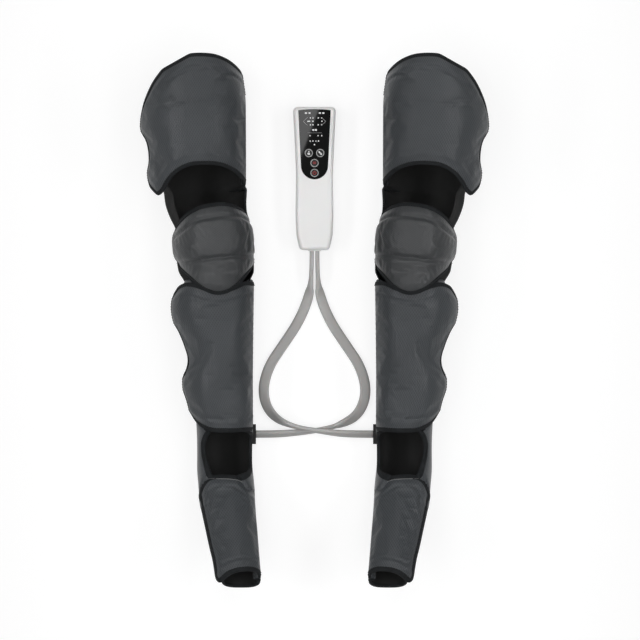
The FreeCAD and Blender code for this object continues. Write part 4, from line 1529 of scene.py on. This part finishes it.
@dataclass(frozen=True)
class WrapPattern:
    """Every cloth piece of a wrap, cut once for both sides.

    Each radius turns an angle over the wrap into a length of cloth. Each tuck is how far a panel's outer side
    is drawn in, up to which angle, and how soon.
    """

    thigh_radius: float = 77.0
    calf_radius: float = 55.0
    foot_radius: float = 38.0
    knee_radius: float = 60.0
    strap_radius: float = 62.0
    shell_radius: float = 50.0
    dome: Triple = (8.0, 55.0, 0.7)         # the knee pad's height, its reach from the edge, its fullness
    tip: Triple = (6.5, 478.0, 30.0)        # its tip's lift, where it starts, how soon it is whole
    thigh_tuck: Triple = (3.0, math.radians(168.0), 0.3)
    strap_tuck: Triple = (5.0, math.radians(172.0), 0.21)
    strap_end: Triple = (7.5, 455.0, 22.0)  # how far the strap's lower end is drawn in, from where, how soon
    strap_depth: float = 7.0                # how far it lies inside the thigh's back
    strap_start: float = 574.0              # where it starts to follow the thigh's shape
    strap_later: Pair = (24.0, 10.0)        # how much further on that is at its inner and outer side
    strap_blend: Pair = (24.0, 15.0)        # how soon it follows it, and how much sooner at its inner side
    shell: LowerShell = LowerShell()

    def flaps(self) -> list[FlapPiece]:
        """The padded flaps and pads that close the front.

        Returns:
            The four pieces.
        """
        thigh = Outline([
            [(101.6, 602.5), (105, 608.5), (111.5, 616.5), (131, 629), (163, 634), (193, 629.5), (211, 617.5),
             (221, 604)],
            [(221, 604), (225.5, 595), (234.5, 587)],
            [(234.5, 587), (246.5, 601), (249.5, 622), (248, 642), (249, 657), (253, 672),
             (259, 682), (260, 699), (256, 726), (250, 742), (241.5, 759), (228, 777.5)],
            [(228, 777.5), (186, 800.5)],
            [(186, 800.5), (165, 801), (147, 799), (127, 790.5), (110, 774), (102.3, 742)],
        ], (602.5, 742))
        calf = Outline([
            [(89.5, 236), (100, 235), (136, 233.5), (155, 234.8), (171, 242.3), (184, 259),
             (191.5, 281), (197, 300), (197, 318), (191.5, 330), (190, 344), (195, 363),
             (202.5, 382), (212, 401), (214.5, 420), (212, 438), (204, 453)],
            [(204, 453), (194, 458), (176, 456.5), (160, 451), (142, 448), (122, 452),
             (104, 460), (89, 459)],
        ], (236, 459))
        foot = Outline([
            [(80.4, 17), (83, 22.5), (90, 26.5), (103, 27.5), (119, 25), (131, 19), (137, 13), (143.6, 9)],
            [(143.6, 9), (147.75, 15), (149.25, 24), (152.25, 42), (156.75, 60), (162.75, 87),
             (168.75, 114), (173.9, 138.2)],
            [(173.9, 138.2), (172.3, 146.3), (167.4, 160.1), (159.3, 167.5), (148, 170.3), (130, 170.6),
             (118, 169.6), (111, 167)],
            [(111, 167), (104, 156.5), (98.7, 150.5), (87.8, 140.5)],
        ], (180, 38), (3,))
        knee = Outline([
            [(90.6, 490), (95.5, 477), (104, 464.5), (116, 450.5), (128, 442.5), (143, 439),
             (157, 441.5), (172.7, 450.2), (184.8, 460.5), (201, 479), (206, 490)],
            [(206, 490), (209, 512), (210, 530), (206, 543.5), (195, 559.5), (179, 570),
             (152, 577), (126, 577), (110, 570), (102.4, 561.5), (98.6, 552)],
        ], (490, 552))
        return [
            FlapPiece("thigh_front", THIGH, thigh, self.thigh_radius, ("thigh_flap",), 5.6),
            FlapPiece("calf_front", CALF, calf, self.calf_radius, ("calf_flap",), 6.2),
            FlapPiece("foot_front", FOOT, foot, self.foot_radius, ("foot_flap",), 6.2, foot=True, cord=[
                (159.8, 164), (138, 163.5), (123.8, 162.6), (114, 161), (107.7, 157.6), (98.7, 149),
                (88.6, 139.6),
            ]),
            FlapPiece("knee_front", KNEE, knee, self.knee_radius, ("knee_pad", "knee_heating_film"), 5.0,
                      slot="pad_fabric", finish=Finish.PAD, wall=6.0, edge_width=20.0, swell=self.knee_swell,
                      seam_lines=self.knee_seams(), fill=0.6, swelling=Swelling(growth=0.03, cap=6.0)),
        ]

    def knee_swell(self, p: Array, q: Array, away: Array) -> Array:
        """How far the knee pad stands proud: a dome, and its tip lifted over the calf flap.

        Args:
            p: arcs over the wrap; not used.
            q: distances along it.
            away: distances from the pad's edge.

        Returns:
            The heights over the tube.
        """
        height, reach, fullness = self.dome
        lift, start, soon = self.tip
        return height * np.clip(away / reach, 0.0, 1.0) ** fullness + lift * eased((start - q) / soon)

    @staticmethod
    def knee_seams() -> list[Run]:
        """The knee pad's two sewn seams.

        Returns:
            Their points seen from above.
        """
        return [
            [(204, 525), (190, 538), (177, 549), (158, 554.5), (131, 557.5), (110, 554),
             (99, 545)],
            [(205.5, 487), (174, 491), (142, 495.5), (115, 498.5), (92, 498)],
        ]

    def thigh_back(self) -> BackPiece:
        """The thigh's back panel.

        Returns:
            The piece, with its outer side drawn in under the flap.
        """
        tuck, end, soon = self.thigh_tuck

        def place(p: Array, q: Array, depth: Array) -> Array:
            """Points of the panel."""
            theta = p / self.thigh_radius
            return THIGH.back(theta, q, depth + tuck * eased((end - theta) / soon))

        return BackPiece("thigh_rear", place, [
            [(150, 625), (170, 606), (200, 597), (270, 593), (330, 594.5), (359.2, 598)],
            [(359.2, 598), (359.2, 742)],
            [(359.2, 742), (340, 768), (310, 785), (270, 792), (230, 777), (200, 755),
             (178, 736), (150, 722)],
            [(150, 722), (150, 625)],
        ], self.thigh_radius, ("thigh_back", "thigh_airbag", "thigh_lining"), {0: 5.0, 2: 5.0})

    def knee_strap(self) -> BackPiece:
        """The black stretch panel behind the knee.

        Returns:
            The piece, inside the calf's top and the thigh's lower end and flush with them between.
        """
        def place(p: Array, q: Array, depth: Array) -> Array:
            """Points of the strap.

            Args:
                p: arcs over the wrap.
                q: distances along it.
                depth: how far the points are under the outer skin.

            Returns:
                The points. They go from the knee's tube to the thigh's, sooner at the sides than behind.
            """
            theta = p / self.strap_radius
            turn = np.degrees(theta)
            inner_side, outer_side = eased((turn - 280.0) / 75.0), eased((230.0 - turn) / 50.0)
            (low_in, low_end, low_soon), (side_in, side_end, side_soon) = self.strap_end, self.strap_tuck
            tuck = (low_in * (1 - eased((q - low_end) / low_soon))
                    + side_in * eased((side_end - theta) / side_soon))
            low = KNEE.back(theta, q, depth + tuck)
            high = THIGH.back(theta, q, depth + self.strap_depth)
            start = self.strap_start + self.strap_later[0] * inner_side + self.strap_later[1] * outer_side
            length = self.strap_blend[0] - self.strap_blend[1] * inner_side
            return low + (high - low) * eased((q - start) / length)[:, None]

        return BackPiece("knee_stretch", place, [
            [(150, 452), (270, 452), (358, 452)],
            [(358, 452), (358, 556)],
            [(358, 556), (363, 562), (366, 574), (366, 608), (362, 630), (359, 655)],
            [(359, 655), (270, 655), (150, 655)],
            [(150, 655), (150, 452)],
        ], self.strap_radius, ("knee_strap",), {2: 5.0}, 2.4, "black_fabric",
            (Finish.STRETCH, Finish.STRETCH))

    def lower_back(self) -> BackPiece:
        """The calf's back, ankle and sole in one, with the ankle window's two sides.

        Returns:
            The piece.
        """
        def place(p: Array, q: Array, depth: Array) -> Array:
            """Points of the shell."""
            return self.shell.place(p / self.shell_radius, q, depth)

        on_foot = self.shell.on_foot
        toe = on_foot(181.0)
        inner = unfold(self.shell.plain, [
            (108, 240), (104.8, 235.8), (98.5, 231.5), (94.8, 225.2), (94.3, 215), (94.3, 204), (94.3, 193),
            (95.4, 185), (99, 178.2), (104, 174), (110, 172), (117, 168.5), (124, 160),
        ], (390, -12))
        outer = unfold(self.shell.plain, [
            (150, 163), (152.5, 168.5), (154.8, 174), (158, 182), (161, 192), (163.5, 205), (164, 215.4),
            (160.5, 227), (153.5, 236.5),
        ], (138, -14))
        nodes = ("calf_back", "calf_airbag", "calf_lining", "foot_sole", "foot_airbag", "foot_lining")
        return BackPiece("lower_rear", place, [
            [(150, 462), (270, 462), (359.2, 462)],
            [(359.2, 462), (359.2, 266)],
            [(359.2, 268), (375, 260), *inner],
            [inner[-1], (404, on_foot(28)), (380, on_foot(46)), (359.2, on_foot(58))],
            [(359.2, on_foot(58)), (359.2, toe)],
            [(359.2, toe), (270, toe), (150, toe)],
            [(150, toe), (150, on_foot(60))],
            [(150, on_foot(60)), (146, on_foot(40)), outer[0]],
            [*outer, (138, 246), (150, 266)],
            [(150, 266), (150, 462)],
        ], self.shell_radius, nodes, {2: 5.5, 5: 5.0, 8: 7.5}, 5.5)

    def fasteners(self) -> list[Fastener]:
        """Hook tape patches under the flaps' free edges.

        Returns:
            The three patches.
        """
        return [
            Fastener("thigh", THIGH, self.thigh_radius, (153.0, 174.0), (640.0, 730.0), "thigh"),
            Fastener("calf", CALF, self.calf_radius, (153.0, 170.0), (375.0, 440.0)),
            Fastener("foot", FOOT, self.foot_radius, (153.0, 172.0), (75.0, 160.0), "foot", True),
        ]


@dataclass
class LegWrap:
    """One full-leg wrap: thigh, knee, calf and foot, from the common pattern."""

    REAR_FILL: ClassVar[float] = 0.3

    side: Side
    flaps: list[FlapPiece]
    thigh_back: BackPiece
    knee_strap: BackPiece
    lower_back: BackPiece
    fasteners: list[Fastener]
    stitcher: StitchRun

    def build(self) -> None:
        """The whole wrap, from the back forwards."""
        self.build_lower_back()
        self.build_knee_strap()
        piece, tapes = self.thigh_back.build(self.side)
        for obj in (piece, *tapes):
            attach(obj, self.side.of("thigh"))
        for fastener in self.fasteners:
            fastener.build(self.side)
        for flap in self.flaps:
            flap.build(self.side, self.stitcher)

    def build_knee_strap(self) -> None:
        """The strap behind the knee."""
        piece, tapes = self.knee_strap.build(self.side)
        self.side.of("calf_back")
        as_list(tapes)
        for obj in (piece, *tapes):
            self.side.of("thigh")
            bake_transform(obj)

    def build_lower_back(self) -> None:
        """The calf's back, ankle and sole."""
        piece, tapes = self.lower_back.build(self.side)
        x = self.side.value * 0.13
        start, end = (x, (HEEL_Y + 28.0) * MM, 0.02), (x, (HEEL_Y - 30.0) * MM, 0.02)
        for obj in (piece, *tapes):
            self.side.of("foot")
            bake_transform(obj)
            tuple(start)
            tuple(end)




# ---------------------------------------------------------------- hoses
@dataclass
class RibbonHose:
    """A flat twin-bore hose that twists along its way."""

    AROUND: ClassVar[int] = 28              # corners in one round of its skin
    FLATNESS: ClassVar[float] = 1.6         # how soon a round reaches the flat's full width
    GROOVE: ClassVar[Pair] = (0.10, 0.45)   # the groove between the bores: its depth and its width, as shares
    REST: ClassVar[float] = 3.6             # the lowest the middle line can lie, with the hose flat
    TURNED: ClassVar[float] = 4.3           # how much higher it lies with the hose on its edge

    name: str
    node: str
    route: list[Triple]
    tilt: Track
    width: float = 15.6
    thickness: float = 7.0

    def centre(self) -> Array:
        """The route's smooth line.

        Returns:
            Its points, read from a NURBS spline.
        """
        curve = bpy.data.curves.new(self.name + "_line", "CURVE")
        curve.dimensions = "3D"
        spline = curve.splines.new("NURBS")
        spline.points.add(len(self.route) - 1)
        for point, (x, d, z) in zip(spline.points, self.route):
            point.co = (x * MM, (TOE_Y + d) * MM, z * MM, 1.0)
        spline.order_u = 3
        spline.use_endpoint_u = True
        spline.resolution_u = 24
        obj = bpy.data.objects.new(self.name + "_line", curve)
        mesh = bpy.data.meshes.new_from_object(obj)
        line = np.array([v.co for v in mesh.vertices]) / MM
        bpy.data.objects.remove(obj)
        bpy.data.curves.remove(curve)
        bpy.data.meshes.remove(mesh)
        return even(line, 1.8)

    def section(self) -> Array:
        """One round of the hose's skin.

        Returns:
            Pairs of places across its width and across its thickness.
        """
        half, bore = (self.width - self.thickness) / 2, self.thickness / 2
        depth, share = self.GROOVE
        pts = []
        for k in range(self.AROUND):
            angle = 2 * math.pi * k / self.AROUND
            across = half * math.copysign(min(1.0, abs(math.cos(angle)) * self.FLATNESS), math.cos(angle))
            waist = 1.0 - depth * math.exp(-(across / (share * half)) ** 2)
            pts.append((across + bore * math.cos(angle), bore * math.sin(angle) * waist))
        return np.array(pts)

    def build(self) -> None:
        line = self.centre()
        tangent = np.gradient(line, axis=0)
        tangent /= np.linalg.norm(tangent, axis=1)[:, None]
        level = np.cross(np.array([0.0, 0.0, 1.0]), tangent)
        level /= np.linalg.norm(level, axis=1)[:, None]
        upright = np.cross(tangent, level)
        step = travelled(line)
        room = np.arcsin(np.clip((line[:, 2] - self.REST) / self.TURNED, 0.0, 1.0))
        tilt = np.clip(np.radians(self.tilt(step / step[-1])), -room, room)[:, None]
        wide = np.cos(tilt) * level + np.sin(tilt) * upright
        thick = np.cross(tangent, wide)
        section = self.section()
        rings = (line[:, None, :] + section[None, :, :1] * wide[:, None, :]
                 + section[None, :, 1:] * thick[:, None, :])
        hose = make_object(self.name, swept(rings, False), [Finish.HOSE], Side.RIGHT)
        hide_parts(self.node)
        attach(hose, "set")
        log.info("%s: %.0f mm, lowest point %.2f mm", self.name, step[-1], rings[..., 2].min())


HOSES = (
    RibbonHose("hose_ribbon_to_right", "hose_to_right", [
        (-4.2, 505.5, 15), (-4.2, 480, 15), (-6.5, 442, 5), (-22, 402, 4), (-46, 366, 4),
        (-70, 331, 4), (-79, 292, 4), (-66, 258.5, 8.5), (-32, 241, 25), (24, 232.8, 25),
        (56, 230.5, 12), (88, 230.5, 12),
    ], Track(((0, 90), (0.08, 90), (0.22, 12), (0.45, 0), (0.6, 30), (0.72, 80), (0.8, 78),
              (0.9, 62), (1, 60)))),
    RibbonHose("hose_ribbon_to_left", "hose_to_left", [
        (4.2, 505.5, 15), (4.2, 480, 15), (6.5, 442, 5), (22, 402, 4), (46, 366, 4),
        (70, 331, 4), (79, 292, 4), (66, 258.5, 5), (36, 243, 8), (-1, 235, 8.5),
        (-30, 232.5, 8.5), (-60, 230.5, 12), (-88, 230.5, 12),
    ], Track(((0, -90), (0.08, -90), (0.22, -12), (0.45, 0), (0.6, -30), (0.72, -80), (0.8, -78),
              (0.9, -62), (1, -60)))),
)


# ---------------------------------------------------------------- controller
@dataclass(frozen=True)
class Mark:
    """A small printed sign standing on a surface. Its own places are measured from where it is put."""

    SUNK: ClassVar[float] = 0.05        # how far it goes into what carries it
    PROUD: ClassVar[float] = 0.08       # how far it stands above that

    def flat(self, loop: Array, z: float) -> Sheet:
        """A mark of a convex outline."""
        return prism(loop, z - self.SUNK, z + self.PROUD)


@dataclass(frozen=True)
class Disc(Mark):
    """A round mark."""

    CORNERS: ClassVar[int] = 12

    at: Pair
    radius: float

    def sheet(self, x: float, y: float, z: float) -> Sheet:
        """The mark's mesh.

        Args:
            x: the X it is put at.
            y: the Y.
            z: the height of the surface it stands on.

        Returns:
            The mesh.
        """
        x, y = x + self.at[0], y + self.at[1]
        turn = np.linspace(0.0, 2 * math.pi, self.CORNERS + 1)[:-1]
        return self.flat(np.column_stack([x + self.radius * np.cos(turn), y + self.radius * np.sin(turn)]), z)


@dataclass(frozen=True)
class Bar(Mark):
    """A straight mark from one place to another."""

    start: Pair
    end: Pair
    width: float

    def sheet(self, x: float, y: float, z: float) -> Sheet:
        """The mark's mesh.

        Args:
            x: the X it is put at.
            y: the Y.
            z: the height of the surface it stands on.

        Returns:
            The mesh.
        """
        a, b = (np.array([x + px, y + py]) for px, py in (self.start, self.end))
        way = (b - a) / np.linalg.norm(b - a)
        side = np.array([-way[1], way[0]]) * self.width / 2
        return self.flat(np.array([a - side, b - side, b + side, a + side]), z)


@dataclass(frozen=True)
class Ring(Mark):
    """A ring between two radii, or one with a gap at its top, in degrees."""

    CORNERS: ClassVar[int] = 48

    radii: Pair
    gap: float = 0.0

    def sheet(self, x: float, y: float, z: float) -> Sheet:
        """The mark's mesh.

        Args:
            x: the X it is put at.
            y: the Y.
            z: the height of the surface it stands on.

        Returns:
            The mesh.
        """
        span = math.radians(360.0 - self.gap)
        turns = np.linspace(0.0, span, self.CORNERS + 1)[:None if self.gap else -1]
        turn = math.pi / 2 + math.radians(self.gap / 2) + turns
        (inner, outer), low, high = self.radii, z - self.SUNK, z + self.PROUD
        rings = [np.column_stack([x + r * np.cos(turn), y + r * np.sin(turn), np.full(len(turn), h)])
                 for r, h in ((inner, low), (outer, low), (outer, high), (inner, high))]
        return swept(np.stack(rings, axis=1), self.gap == 0.0)


class Key(Enum):
    """The four keys: the finish of each one's sign, and its marks."""

    MODE = (Finish.MARK, Disc((0.0, -0.8), 1.9), Bar((0.0, -0.5), (0.0, 3.0), 1.5))
    LEVEL = (Finish.MARK, Bar((-2.4, 2.4), (1.2, -1.2), 2.0), Disc((1.4, -1.4), 1.5))
    HEAT = (Finish.RED_MARK, Bar((-1.8, -1.6), (-1.8, 2.4), 0.9), Bar((0.0, -1.6), (0.0, 2.4), 0.9),
            Bar((1.8, -1.6), (1.8, 2.4), 0.9))
    POWER = (Finish.RED_MARK, Ring((1.9, 2.9), 70.0), Bar((0.0, 0.6), (0.0, 3.2), 0.9))


@dataclass
class Controller:
    """The handheld unit: its CAD pieces dressed, and the small marks on its panel and keys.

    Places on the panel are pairs of X and distance from the toes.
    """

    panel_z: float = 36.8
    key_z: float = 37.5
    key_ring: Ring = Ring((4.9, 6.1))
    block: Pair = (3.0, 2.3)                    # a block's length and width
    dot: float = 0.95                           # a dot's radius
    dash: Bar = Bar((-10.9, 700.3), (-6.6, 700.3), 1.4)
    lamp_dot: Disc = Disc((0.0, 665.2), 1.1)
    rule: Bar = Bar((-10.9, 682.9), (10.7, 682.9), 0.35)
    arrow: tuple[Pair, Pair, Pair] = ((10.5, 705.9), (17.0, 700.0), (10.5, 694.0))     # the arrow at +X
    arrow_line: float = 0.5
    dressing: dict[Finish, tuple[str, ...]] = field(default_factory=lambda: {
        Finish.CASE: ("case_top", "case_bottom", "hose_collar"),
        Finish.PANEL: ("control_panel",),
        Finish.STEEL: ("case_screws", "charging_port", "pump_motor"),
        Finish.CELL: ("battery_cells",),
        Finish.KEY: ("button_mode", "button_level", "button_heat", "button_power"),
        Finish.BOARD: ("circuit_board",),
        Finish.PART: ("key_switches", "air_pump", "air_valves"),
        Finish.LAMP: ("indicator_leds",),
        Finish.TUBE: ("inner_air_tubes",),
        Finish.BOOT: ("hose_inlet_right", "hose_inlet_left"),
    })
    blocks: tuple[Pair, ...] = (
        (-12.6, 712.6), (-7.5, 712.6), (8.1, 712.6), (13.2, 712.6), (-1.8, 687.2), (2.1, 687.2))
    dots: tuple[Pair, ...] = (
        (-6.2, 705.3), (-2.3, 705.3), (5.7, 705.3), (10.7, 705.3), (-2.3, 700.3), (11.1, 700.3),
        (-6.2, 695.1), (-2.3, 695.1), (5.7, 695.1), (10.7, 695.1), (-6.6, 678.7), (5.3, 678.7), (10.7, 678.7),
        (-6.6, 670.6), (-2.3, 670.6), (2.1, 670.6), (5.9, 670.6))

    def dress(self) -> None:
        """Gives each CAD piece its finish."""
        for finish, nodes in self.dressing.items():
            for node in nodes:
                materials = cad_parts[node].data.materials
                materials.clear()
                materials.append(finish.material)
                log.info("%s: %s", node, finish.value.name)

    def place(self, name: str, parts: list[Sheet], finish: Finish, body: str) -> None:
        """Makes one piece of several marks.

        Args:
            name: the piece's name.
            parts: the marks' meshes.
            finish: their finish.
            body: the body it rides on.
        """
        whole = parts[0]
        for part in parts[1:]:
            whole = whole.joined(part)
        obj = make_object(name, whole, [finish], Side.RIGHT, smooth=False)
        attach(obj, body)

    def panel_marks(self) -> None:
        """Small plain signs on the panel."""
        half, width = self.block[0] / 2, self.block[1]
        bold = [Bar((x - half, d), (x + half, d), width) for x, d in self.blocks]
        bold += [*(Disc(at, self.dot) for at in self.dots), self.dash, self.lamp_dot]
        fine = []
        for sign in (-1, 1):
            start, tip, end = ((sign * x, d) for x, d in self.arrow)
            fine += [Bar(start, tip, self.arrow_line), Bar(tip, end, self.arrow_line)]
        fine.append(self.rule)
        for name, marks, finish in (("panel_signs", bold, Finish.MARK), ("panel_lines", fine, Finish.RING)):
            self.place(name, [mark.sheet(0.0, TOE_Y, self.panel_z) for mark in marks], finish, "set")

    def key_marks(self) -> None:
        """A ring and a plain sign on each key."""
        for key in Key:
            word, body = key.name.lower(), "button_" + key.name.lower()
            low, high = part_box(body)
            at = (low[0] + high[0]) / 2 / MM, (low[1] + high[1]) / 2 / MM, self.key_z
            finish, *marks = key.value
            self.place("key_ring_" + word, [self.key_ring.sheet(*at)], Finish.RING, body)
            self.place("key_sign_" + word, [mark.sheet(*at) for mark in marks], finish, body)

    def build(self) -> None:
        """Dresses the controller and adds its marks."""
        self.dress()
        self.panel_marks()
        self.key_marks()


# ---------------------------------------------------------------- studio
@dataclass(frozen=True)
class Lamp:
    """A rectangular lamp, in metres. Its roll about its own axis and its spread are in degrees."""

    at: Triple
    aim: Triple
    size: Pair
    radiance: float
    roll: float = 0.0
    spread: float = 180.0

    def mirrored(self, sign: int) -> "Lamp":
        """The same lamp at the side whose sign is given."""
        return replace(self, at=(sign * self.at[0], *self.at[1:]), aim=(sign * self.aim[0], *self.aim[1:]))

    def build(self, name: str) -> None:
        """Puts the lamp in the scene.

        Args:
            name: its name.
        """
        data = bpy.data.lights.new(name, "AREA")
        data.shape = "RECTANGLE"
        data.size, data.size_y = self.size
        data.energy = self.radiance * math.pi * self.size[0] * self.size[1]
        data.spread = math.radians(self.spread)
        obj = linked(bpy.data.objects.new(name, data))
        turn = ((Vector(self.aim) - Vector(self.at)).to_track_quat("-Z", "Y")
                @ Quaternion((0, 0, 1), math.radians(self.roll)))
        obj.location, obj.rotation_euler = self.at, turn.to_euler()
        obj.visible_camera = False


@dataclass
class Studio:
    """Floor, walls, lamps and camera. Only the camera's places are in millimetres."""

    camera_at: Triple = (8.25, 1.0, 20000.0)
    frame_width: float = 960.0
    sight_level: float = 50.0
    sensor: float = 36.0
    clip_end: float = 100.0
    floor_half: float = 6.0
    floor_z: float = -0.0005
    floor_given: float = 0.55           # the grey by which the floor lights the set
    floor_seen: float = 0.30            # and the grey that is seen, with the glow added to it
    floor_glow: float = 0.78
    wall_given: float = 0.10            # the walls' light on the set, where what is seen of them is 1
    ceiling: tuple[Pair, Pair] = ((0.05, 0.30), (1.0, 0.16))    # its two heights, and its level at each
    strip: Lamp = Lamp((0.93, 0.0, 0.98), (0.16, 0.0, 0.06), (0.2, 2.4), 1.05, 90.0, 60.0)
    top: Lamp = Lamp((0.3, 0.0, 1.2), (0.3, 0.0, 0.0), (0.4, 2.4), 1.65)
    card_edge: Pair = (-0.0081, 0.3109)     # a point over which the overhead card's edge passes
    card_lean: float = 69.5
    card_side: float = 0.35
    card_height: float = 2.0
    card_radiance: float = 2.4

    def camera(self) -> None:
        """A long lens straight above the set."""
        data = bpy.data.cameras.new("camera")
        data.sensor_width = self.sensor
        data.lens = data.sensor_width * (self.camera_at[2] - self.sight_level) / self.frame_width
        data.clip_end = self.clip_end
        obj = linked(bpy.data.objects.new("camera", data))
        obj.location = [value * MM for value in self.camera_at]
        bpy.context.scene.camera = obj

    @staticmethod
    def clear_view(n: Nodes) -> NodeSocket:
        """Tells what the camera sees from other light.

        Args:
            n: the tree.

        Returns:
            1 for what it sees, straight or through gloss and glass, and 0 for other light.
        """
        path = n.add("LightPath").outputs
        seen = n.math("MAXIMUM", path["Is Camera Ray"], path["Is Glossy Ray"])
        return n.math("MAXIMUM", seen, path["Is Transmission Ray"])

    def floor(self) -> None:
        """A pale floor that looks white and keeps a soft shadow."""
        half, z = self.floor_half, self.floor_z
        mesh = bpy.data.meshes.new("floor")
        corners = [(-half, -half, z), (half, -half, z), (half, half, z), (-half, half, z)]
        mesh.from_pydata(corners, [], [(0, 1, 2, 3)])
        material = bpy.data.materials.new("pale_floor")
        material.use_nodes = True
        material.node_tree.nodes.clear()
        n = Nodes(material.node_tree)
        given, seen = (n.add("BsdfDiffuse", {"Color": (c, c, c, 1.0)}).outputs[0]
                       for c in (self.floor_given, self.floor_seen))
        glow = n.add("Emission", {"Strength": self.floor_glow}).outputs[0]
        bright = n.add("AddShader", {0: seen, 1: glow}).outputs[0]
        mix = n.add("MixShader", {"Fac": self.clear_view(n), 1: given, 2: bright})
        n.add("OutputMaterial", {"Surface": mix.outputs[0]})
        mesh.materials.append(material)
        linked(bpy.data.objects.new("floor", mesh))

    def world(self) -> None:
        """White walls under a dark ceiling, dimmer for the light they give than for what is seen."""
        world = bpy.data.worlds.new("studio")
        world.use_nodes = True
        n = Nodes(world.node_tree)
        way = n.add("SeparateXYZ", {0: n.add("TexCoord").outputs["Generated"]}).outputs["Z"]
        (low, high), (below, above) = self.ceiling
        shown = n.ranged(way, From_Min=low, From_Max=high, To_Min=below, To_Max=above)
        back = n.tree.nodes["Background"].inputs
        n.fill(back["Strength"], n.ranged(self.clear_view(n), To_Min=self.wall_given, To_Max=shown))
        n.fill(back["Color"], (1.0, 1.0, 1.0, 1.0))
        bpy.context.scene.world = world

    def card(self) -> Lamp:
        """An overhead card whose edge crosses the panel's reflection.

        Returns:
            The lamp.
        """
        lean = math.radians(self.card_lean)
        away = Vector((-math.sin(lean), math.cos(lean)))
        x, y = Vector(self.card_edge) + away * self.card_side / 2
        return Lamp((x, y, self.card_height), (x, y, 0.0), (self.card_side, self.card_side),
                    self.card_radiance, self.card_lean)

    def build(self) -> None:
        """The whole studio."""
        self.camera()
        self.floor()
        self.world()
        for sign, word in ((-1, "left"), (1, "right")):
            self.strip.mirrored(sign).build(f"{word}_strip")
            self.top.mirrored(sign).build(f"{word}_top")
        self.card().build("overhead_card")
        bpy.context.scene.view_settings.view_transform = "Standard"


def main() -> None:
    """Builds the studio and every piece, in order."""
    logging.basicConfig(level=logging.INFO, format="%(message)s")
    Studio().build()
    for hose in HOSES:
        hose.build()
    Controller().build()
    pattern, stitcher = WrapPattern(), StitchRun()
    pieces = (pattern.flaps(), pattern.thigh_back(), pattern.knee_strap(), pattern.lower_back(),
              pattern.fasteners())
    for side in Side:
        LegWrap(side, *pieces, stitcher).build()


if __name__ == "__main__":
    main()
